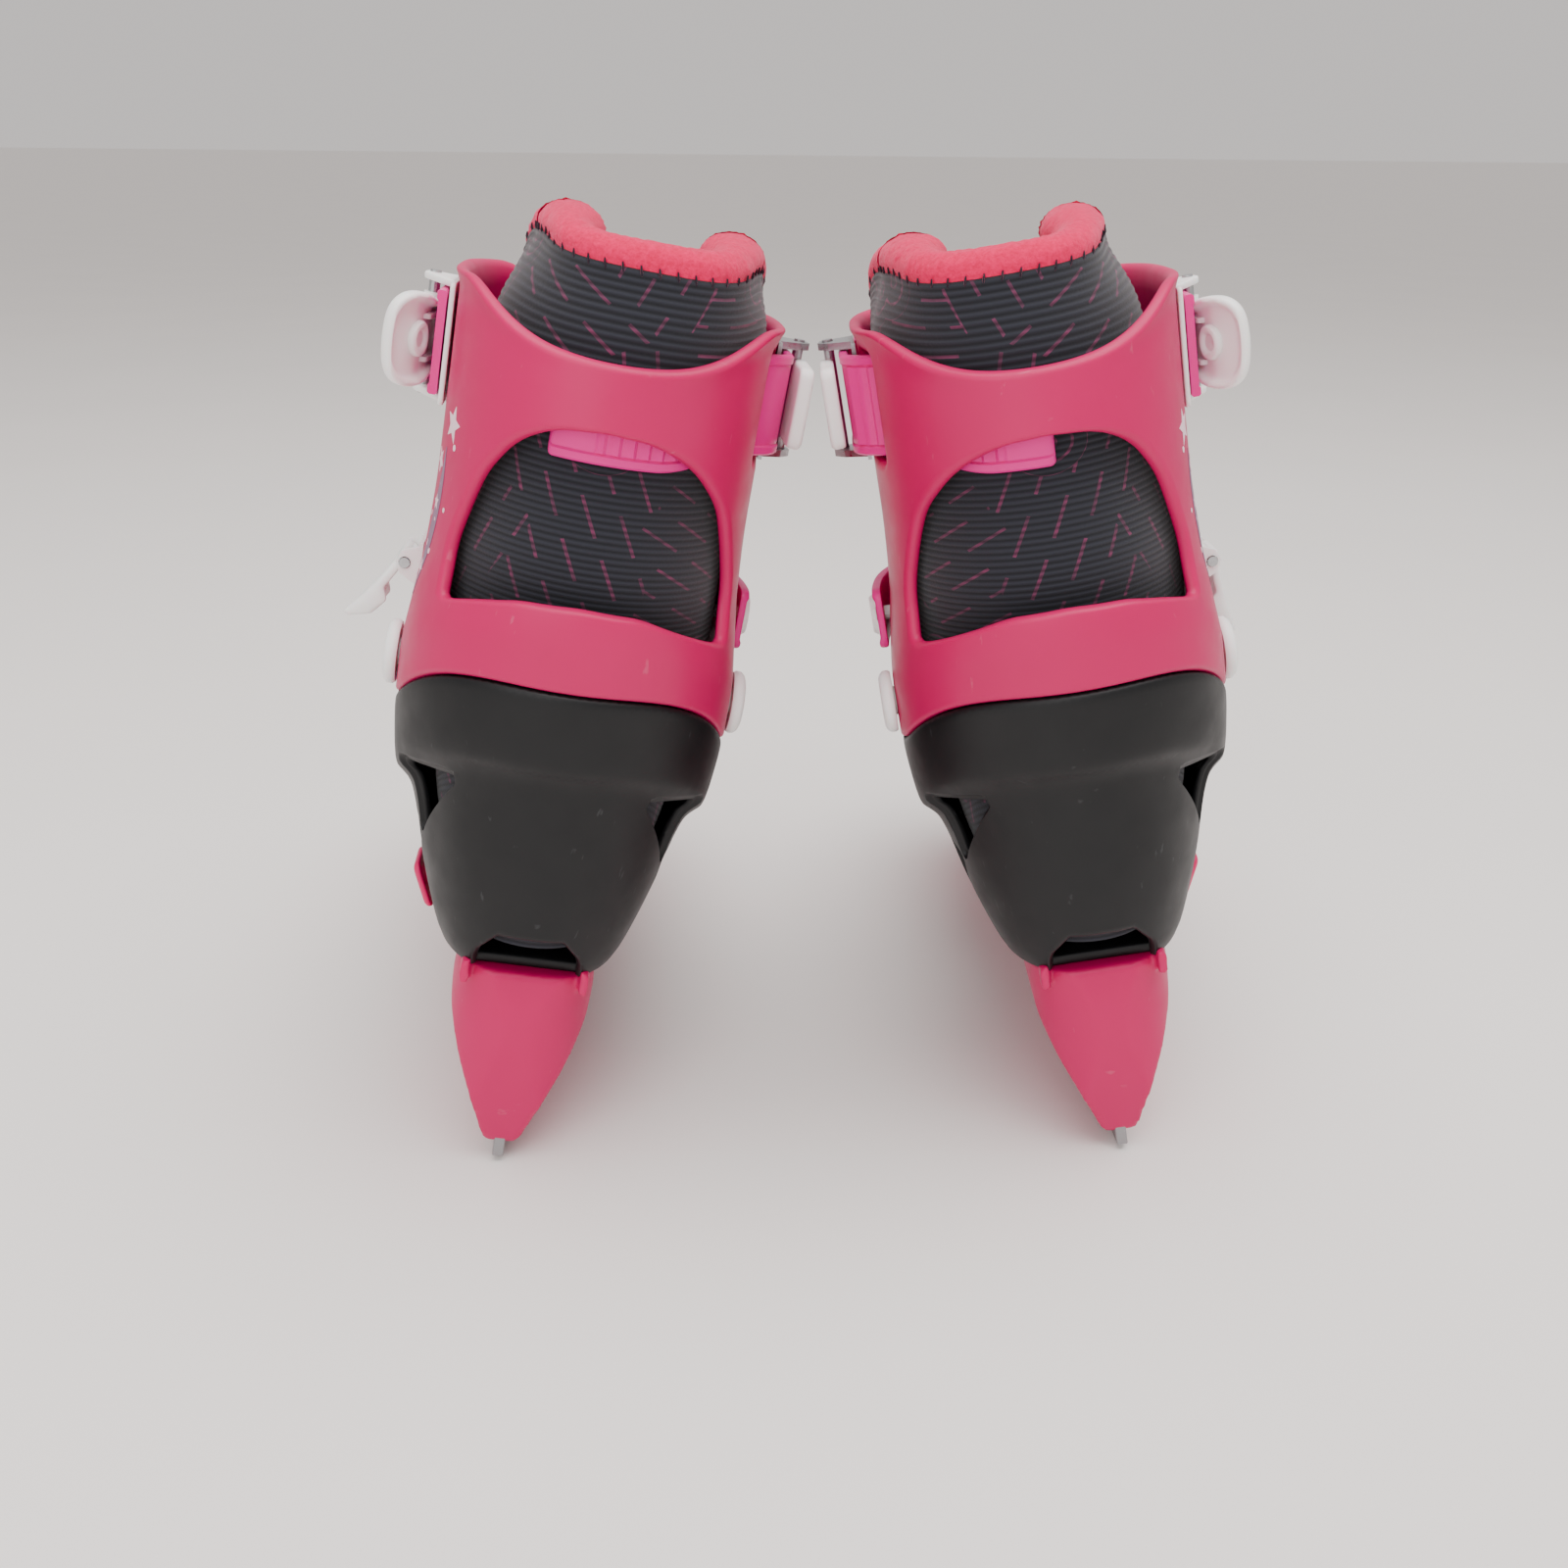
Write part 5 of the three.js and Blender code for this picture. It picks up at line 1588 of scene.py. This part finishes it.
        outline = softened([(-17.6, 0), (17.6, 0), (17.6, total), (-17.6, total)], [9, 9, 7, 7], 1.4)
        edge = [
            (3.0, 0.35), (2.2, 0.55), (1.1, 1.1), (0.3, 2.2), (0.0, 3.5), (0.3, 4.9), (1.1, 6.0), (2.2, 6.6),
            (3.0, 6.9)]
        shape = Panel(outline, place, edge, step=2.4, inner_finish=1).shape()
        across, up = shape.points[:, 0], shape.points[:, 2]
        shape.cloth = np.column_stack([(across + 400) * MM, (up + 7 * np.sin(across / 20)) * MM])
        piece = self.shop.mesh("tongue_pad", shape, [self.finishes.lining, self.finishes.fleece], 80)
        self.shop.fit(piece, "ankle", "liner_fabric", "tongue")

    def insole(self) -> None:
        """Felt-faced foam sole with a rounded edge."""
        form = Form(tuple(row.drawn_in(self.inset + 6.6, self.stretch) for row in FOOT_ROWS))
        runs = np.linspace(-form.end, form.end, 240)[:-1]
        x, y = form.point(runs, np.full_like(runs, 72.0))
        loop = resampled(np.column_stack([x, y]), 2.0)

        def place(x: Array, y: Array, depth: Array) -> Array:
            """Point below the insole's upper face, which cups at its sides."""
            arch = 1.2 * smooth((np.abs(x) - 8) / 16)
            return np.stack([x, y, 74.2 - depth + arch * (1 - depth / 3)], 1)

        shape = Panel(loop, place, rounded_edge(2.9, 1.2), step=4.0).shape()
        piece = self.shop.mesh("insole_pad", shape, [self.finishes.foam], 70)
        self.shop.fit(piece, "base", "insole_foam", "insole")


@dataclass
class Straps:
    """Ladder strap round the cuff, instep strap, and their levers and plates."""

    shop: Workshop
    finishes: Finishes
    tail_end: float
    lever_open: float
    half: float = 12.5
    thickness: float = 2.0
    button_proud: float = 4.8
    tooth: float = 3.4
    tooth_height: float = 0.9

    def build(self) -> None:
        """Makes the straps and everything that works them."""
        self.ladder()
        self.instep_strap()
        self.cam_lever()
        self.cam_base()
        self.ratchet_lever()
        self.instep_lever()
        self.size_button()

    def ladder(self) -> None:
        """Strap from the outer buckle round the front and in through the cuff to the back."""
        front_part, dive = np.linspace(-4, 178, 110), np.linspace(178.5, 224, 70)[:-1]
        angles = np.radians(np.concatenate([front_part, dive, np.linspace(224, self.tail_end, 260)]))
        degrees = np.degrees(angles)
        offset = mix(3.6, -5.5, smooth((degrees - 179) / 23))
        z = STRAP_Z - 5.0 * smooth((degrees - 204) / 46)
        rear, half, centre, front, _, _ = [float(v[0]) for v in CUFF.sizes(np.array([STRAP_Z]))]
        c, s = np.cos(angles), np.sin(angles)
        ahead = s > 0
        power = np.where(ahead, 3.4, 2.0)
        scale = (np.abs(c) ** power + np.abs(s) ** power) ** (-1 / power)
        reach = np.where(ahead, front - centre, centre - rear)
        x = (half + offset) * c * scale
        y = centre + (reach + offset) * s * scale
        middle = np.column_stack([x, y, z])
        way = np.gradient(middle, axis=0)
        way /= np.linalg.norm(way, axis=1, keepdims=True)
        out = np.cross(way, np.array([0, 0, 1.0]))
        out /= np.linalg.norm(out, axis=1, keepdims=True)
        lengths = lengths_along(middle)
        left_over = lengths[-1] - lengths
        saw = (left_over / self.tooth) % 1.0
        rise = self.tooth_height * np.minimum(saw / 0.72, (1 - saw) / 0.28)
        rise *= smooth((left_over - 10.5) / 1.0) * smooth((62 - left_over) / 2)
        tip = np.sqrt(np.clip(1 - (1 - np.clip(left_over / 1.6, 0, 1)) ** 2, 0.05, 1))
        t = self.thickness / 2
        rings = []
        for i in range(len(middle)):
            h = self.half - 1.2 * (1 - tip[i]) - 1.9 * smooth((degrees[i] - 206) / 20)
            inner = h - 2.6
            high = t + rise[i]
            section = [
                (-h, -t + 0.4), (-h + 0.4, -t), (h - 0.4, -t), (h, -t + 0.4), (h, t - 0.2),
                (h - 0.5, t + 0.35), (inner + 0.5, t + 0.35), (inner, t - 0.1), (inner - 0.3, high),
                (-inner + 0.3, high),
                (-inner, t - 0.1), (-inner - 0.5, t + 0.35), (-h + 0.5, t + 0.35), (-h, t - 0.2)]
            ring = [middle[i] + np.array([0, 0, u]) + out[i] * v * tip[i] for u, v in section]
            rings.append(np.array(ring))
        piece = self.shop.mesh("ladder_strap", loft(rings), [self.finishes.strap], 30)
        self.shop.fit(piece, "ankle", "magenta_strap", "cuff_strap")

    def instep_strap(self) -> None:
        """Broad strap over the instep with a raised border."""
        def place(run: Array, z: Array, depth: Array) -> Array:
            """Point below the band's outer face and its raised border."""
            raised = 0.5 * smooth((np.abs(z - 152) - 5.6) / 0.8)
            x, y = CUFF.point(run, np.full_like(z, 152.0), depth - 3.4 - raised * (1 - depth / 2))
            return np.stack([x, y, z], 1)

        turn = np.linspace(0, 1, 60)
        start, end = 69 + 69 * 40 / 90, 2 * 138 - 69 - 69 * 12 / 90
        line = np.column_stack([mix(start, end, turn), np.full(60, 152 - 8.5)])
        back = np.column_stack([mix(start, end, turn), np.full(60, 152 + 8.5)])[::-1]
        loop = softened([tuple(line[0]), tuple(line[-1]), tuple(back[0]), tuple(back[-1])], 3.5, 1.2)

        def place_round(run: Array, z: Array, depth: Array) -> Array:
            """The same, by a run that goes on past the front of the cuff."""
            signed = np.where(run <= 138, run, run - 276)
            return place(np.where(signed == 0, 1e-6, signed), z, depth)

        shape = Panel(loop, place_round, rounded_edge(2.0, 0.6, 2), step=1.6).shape()
        piece = self.shop.mesh("instep_band", shape, [self.finishes.strap], 40)
        self.shop.fit(piece, "ankle", "magenta_strap", "instep_strap")

    def cam_lever(self) -> None:
        """Thumb paddle with a raised border round a hollow underside, and its boss."""
        arm = np.array([[0.6, 0.0], [0.6, 5], [1.0, 10], [1.9, 14.5], [3.6, 18.6], [5.8, 21.8], [8.0, 23.8]])
        total = float(lengths_along(arm)[-1])

        def place(v: Array, h: Array, depth: Array) -> Array:
            """Point below the paddle's outer face, by distance from the pin and height."""
            at = np.clip(v, 0, total)
            (out, back), (d_out, d_back) = read_path(arm, at, 0.4)
            over = v - at
            x = PIN_X + out + 1.0 + d_out * over - d_back * depth
            y = BUCKLE_Y - back - d_back * over - d_out * depth
            return np.stack([x, y, STRAP_Z + h], 1)

        outline = softened(
            [(0, -9), (9, -9.2), (14, -11.2), (22, -11.4), (total, -7.4), (total + 0.8, 0), (total, 7.4),
             (22, 11.4), (14, 11.2), (9, 9.2), (0, 9)], [1, 3, 4, 5, 5, 5, 5, 5, 4, 3, 1], 0.8)
        edge = [
            (2.2, 0.0), (1.2, 0.15), (0.45, 0.55), (0.0, 1.3), (0.0, 3.2), (0.4, 3.9), (1.0, 4.1), (1.6, 3.8),
            (2.0, 3.0), (2.3, 2.3), (2.8, 2.0), (3.2, 1.9)]
        plate = Panel(outline, place, edge, step=1.6).shape()
        turns = np.arange(28) * 2 * math.pi / 28
        boss = []
        steps = ((4.4, 1.2), (4.4, 2.6), (4.0, 3.3), (3.2, 3.5), (2.4, 3.1), (2.0, 2.6), (0.4, 2.5))
        for radius, depth in steps:
            v, h = 15.4 + radius * 0.9 * np.cos(turns), radius * np.sin(turns)
            boss.append(place(v, h, np.full(28, depth)))
        knuckle = [np.column_stack([
            PIN_X + 2.4 * np.cos(turns), BUCKLE_Y + 2.4 * np.sin(turns), np.full(28, STRAP_Z + z)])
            for z in (-10.0, 10.0)]
        ribs = []
        for h in (-5.2, 5.2):
            rib = softened([(2, 1.5), (13, 1.5), (12, 3.3), (2, 3.6)], 0.5, 0.6)
            ribs.append(loft([place(rib[:, 0], np.full(len(rib), h + w), rib[:, 1]) for w in (-0.6, 0.6)]))
        shape = plate.joined(loft(boss), loft(knuckle), *ribs)
        piece = self.shop.mesh("thumb_paddle", shape, [self.finishes.white], 45)
        self.shop.fit(piece, "cam", "white_nylon", "cam_lever")

    def cam_base(self) -> None:
        """White strip against the cuff with an ear above and below the strap."""
        low, high = 197.2, 226.8

        def on_side(y: Array, z: Array, depth: Array) -> Array:
            """Point below the plate's outer face."""
            return np.stack([41.3 - depth, y, z], 1)

        plate = Panel(
            softened([(31, low), (53.2, low), (53.2, high), (31, high)], 1.6, 0.8), on_side,
            rounded_edge(1.3, 0.4, 2), step=3.0).shape()
        ears = []
        for z in (low, 225.0):
            def level(x: Array, y: Array, depth: Array, at: float = z) -> Array:
                """Point below an ear's upper face."""
                return np.stack([x, y, at + 1.8 - depth], 1)

            ears.append(Panel(
                softened([(40.2, 35), (40.2, 53.2), (48.7, 53.2), (49.6, 49), (46.5, 44.4)], 1.6, 0.7), level,
                rounded_edge(1.8, 0.5, 2), step=3.0).shape())
        piece = self.shop.mesh("cam_bracket", plate.joined(*ears), [self.finishes.white], 45)
        self.shop.fit(piece, "ankle", "white_nylon", "cam_base")

    def ratchet_lever(self) -> None:
        """Flat release lever of the inner buckle."""
        def place(y: Array, z: Array, depth: Array) -> Array:
            """Point below the release lever's outer face."""
            return np.stack([-(PIN_X + 3.1 - depth), y, z], 1)

        outline = softened(
            [(30.2, 201.8), (50.6, 201.5), (51.8, 205), (51.8, 219), (50.6, 222.5), (30.2, 222.2),
             (29.6, 212)], [3, 2, 2, 2, 2, 3, 6], 0.8)
        edge = [
            (1.6, 0.0), (0.8, 0.12), (0.25, 0.5), (0.0, 1.1), (0.0, 3.0), (0.3, 3.6), (0.8, 3.8), (1.4, 3.8)]
        shape = Panel(outline, place, edge, step=2.2).shape()
        piece = self.shop.mesh("release_lever", shape, [self.finishes.white], 45)
        self.shop.fit(piece, "ratchet", "white_nylon", "ratchet_lever")

    def instep_lever(self) -> None:
        """Leaf-shaped lever, turned out about its pin as the skate stands."""
        pin = np.array([46.0, 50.0, 153.5])
        c, s = math.cos(self.lever_open), math.sin(self.lever_open)

        def place(w: Array, drop: Array, depth: Array) -> Array:
            """Point below the leaf's outer face, by place along the pin and distance from it."""
            below = depth * (1 + 1.2 * smooth((drop - 9) / 4) * (1 - smooth((drop - 18) / 5)))
            out = 1.0 + 0.06 * np.maximum(drop, 0) + 0.0062 * np.maximum(drop, 0) ** 2 + 1.3 - below
            dx, dz = out, -drop
            x = pin[0] + c * dx - s * dz
            z = pin[2] + s * dx + c * dz
            return np.stack([x, pin[1] + w, z], 1)

        outline = softened(
            [(-5.7, -2.6), (5.7, -2.6), (5.9, 8), (4.4, 16.5), (0.6, 23), (-0.6, 23), (-4.4, 16.5),
             (-5.9, 8)], [1, 1, 5, 5, 1, 1, 5, 5], 0.7)
        edge = [
            (1.4, 0.0), (0.8, 0.1), (0.3, 0.4), (0.0, 0.9), (0.0, 1.9), (0.3, 2.3), (0.8, 2.4), (1.3, 1.9),
            (1.8, 1.6)]
        leaf = Panel(outline, place, edge, step=1.5).shape()
        turns = np.arange(20) * 2 * math.pi / 20
        knuckle = [np.column_stack([
            pin[0] + 2.4 * np.cos(turns), np.full(20, pin[1] + w), pin[2] + 2.4 * np.sin(turns)])
            for w in (-5.6, 5.6)]
        piece = self.shop.mesh("instep_leaf", leaf.joined(loft(knuckle)), [self.finishes.white], 45)
        self.shop.fit(piece, "instep", "white_nylon", "instep_lever")

    def size_button(self) -> None:
        """Push button that frees the toe shell."""
        z = np.array([BUTTON_Z])
        _, half, centre, _, ball, ball_y = [float(v[0]) for v in FOOT.sizes(z)]
        surface = mix(half, ball, float(smooth((BUTTON_Y - centre) / (ball_y - centre))))
        tilt = math.radians(22)

        def place(v: Array, w: Array, depth: Array) -> Array:
            """Point below the button's outer face."""
            out = self.button_proud - depth
            x = surface + out * math.cos(tilt) + w * math.sin(tilt)
            up = BUTTON_Z - out * math.sin(tilt) + w * math.cos(tilt)
            return np.stack([x, BUTTON_Y + v, up], 1)

        outline = softened([(-7.5, -7), (7.5, -7), (7.5, 7), (-7.5, 7)], 3.4, 0.7)
        edge = [
            (3.4, 0.55), (2.6, 0.3), (1.9, 0.0), (1.0, 0.15), (0.3, 0.6), (0.0, 1.1), (0.0, 1.7), (0.3, 2.0),
            (0.9, 2.0)]
        turns = np.arange(20) * math.pi / 10
        stem = loft([place(2.7 * np.cos(turns), 0.4 + 2.7 * np.sin(turns), np.full(20, depth))
                     for depth in (1.8, 2.4, 7.6, 8.0)])
        shape = Panel(outline, place, edge, step=1.6).shape().joined(stem)
        piece = self.shop.mesh("push_button", shape, [self.finishes.button])
        self.shop.fit(piece, "button", "magenta_acetal", "size_button")


@dataclass
class Hardware:
    """Pins, bolts and plates that keep their CAD shape."""

    shop: Workshop
    finishes: Finishes

    def build(self) -> None:
        """Gives each node that stays its finish."""
        kept = {
            self.finishes.zinc: (
                "blade_bolt_rear", "blade_bolt_front", "holder_bolt_rear", "holder_bolt_front", "cam_pin",
                "ratchet_pin", "instep_pin", "ratchet_frame"),
            self.finishes.white: ("instep_base", "instep_anchor"),
        }
        for material, nodes in kept.items():
            for node in nodes:
                piece = frame["nodes"][self.shop.at.name(node)]
                for slot in piece.material_slots:
                    slot.material = material
        LOG.info("%s hardware dressed", self.shop.at.side.value)


@dataclass
class Studio:
    """Floor, light and camera."""

    position: tuple[float, float, float] = (-0.0254, -0.4750, 0.2624)
    heading: tuple[float, float] = (0.048, 0.999)
    pitch: float = 22.22
    roll: float = 0.59
    reach: float = 40.0

    def build(self) -> None:
        """Makes the stage."""
        self.floor()
        self.lights()
        self.camera()

    def floor(self) -> None:
        """Pale matt floor, wide enough to fill every view."""
        mesh = bpy.data.meshes.new("floor")
        corners = [(x * self.reach, y * self.reach, 0) for x, y in ((-1, -1), (1, -1), (1, 1), (-1, 1))]
        mesh.from_pydata(corners, [], [(0, 1, 2, 3)])
        floor = bpy.data.objects.new("floor", mesh)
        bpy.context.scene.collection.objects.link(floor)
        material, tree, shader = new_finish("painted floor, matt")
        coordinates = add_node(tree, "TexCoord").outputs["Object"]
        tone = add_node(tree, "TexNoise", {"Vector": coordinates, "Scale": 6.0, "Detail": 3.0})
        colour = add_node(
            tree, "Mix", {0: tone.outputs[0], 6: linear("#EDE9E6"), 7: linear("#F2EEEB")}, data_type="RGBA")
        tree.links.new(colour.outputs[2], shader.inputs["Base Color"])
        shader.inputs["Roughness"].default_value = 0.6
        mesh.materials.append(material)

    def lights(self) -> None:
        """Broad ceiling light, a weaker one behind the camera and a pale room."""
        for name, at, turn, size, power in (
                ("ceiling", (0.15, -0.25, 1.5), (8, 6, 0), 1.6, 32.0),
                ("front", (-0.5, -1.3, 0.8), (62, 0, -20), 1.2, 9.0)):
            light = bpy.data.lights.new(name, "AREA")
            light.shape = "DISK"
            light.size = size
            light.energy = power
            light.color = (1.0, 0.98, 0.97)
            lamp = bpy.data.objects.new(name, light)
            lamp.location = at
            lamp.rotation_euler = Euler([math.radians(a) for a in turn])
            bpy.context.scene.collection.objects.link(lamp)
        world = bpy.data.worlds.new("room")
        world.use_nodes = True
        back = world.node_tree.nodes["Background"]
        back.inputs[0].default_value = linear("#E4DFDD")
        back.inputs[1].default_value = 0.95
        bpy.context.scene.world = world

    def camera(self) -> None:
        """Camera above and behind the heels."""
        camera = bpy.data.cameras.new("camera")
        camera.lens = 36.0
        camera.sensor_width = 36.0
        camera.clip_start = 0.01
        eye = bpy.data.objects.new("camera", camera)
        down = math.radians(self.pitch)
        ahead = Vector((*self.heading, 0)).normalized()
        look = ahead * math.cos(down) - Vector((0, 0, 1)) * math.sin(down)
        turn = look.to_track_quat("-Z", "Y").to_matrix() @ Matrix.Rotation(math.radians(self.roll), 3, "Z")
        eye.matrix_world = Matrix.Translation(self.position) @ turn.to_4x4()
        bpy.context.scene.collection.objects.link(eye)
        bpy.context.scene.camera = eye


@dataclass(frozen=True)
class Wear:
    """How one skate was left standing.

    Attributes:
        tail_end: Angle round the cuff in degrees where the ladder strap's tail ends.
        lever_open: Angle in radians that the instep lever stands open.
        slump: How far the liner's top leans to the inner side.
    """

    tail_end: float
    lever_open: float
    slump: float


def main() -> None:
    """Builds the pair and its stage."""
    logging.basicConfig(level=logging.INFO, format="%(name)s: %(message)s")
    Studio().build()
    finishes = Finishes()
    pair = {Side.LEFT: Wear(292.0, math.radians(24), 4.6), Side.RIGHT: Wear(273.0, 0.0, 3.4)}
    for side, wear in pair.items():
        shop = Workshop(SkateFrame.of(side))
        Runner(shop, finishes).build()
        Shells(shop, finishes).build()
        Cuff(shop, finishes).build()
        Liner(shop, finishes, slump=wear.slump).build()
        Straps(shop, finishes, wear.tail_end, wear.lever_open).build()
        Hardware(shop, finishes).build()


if __name__ == "__main__":
    main()
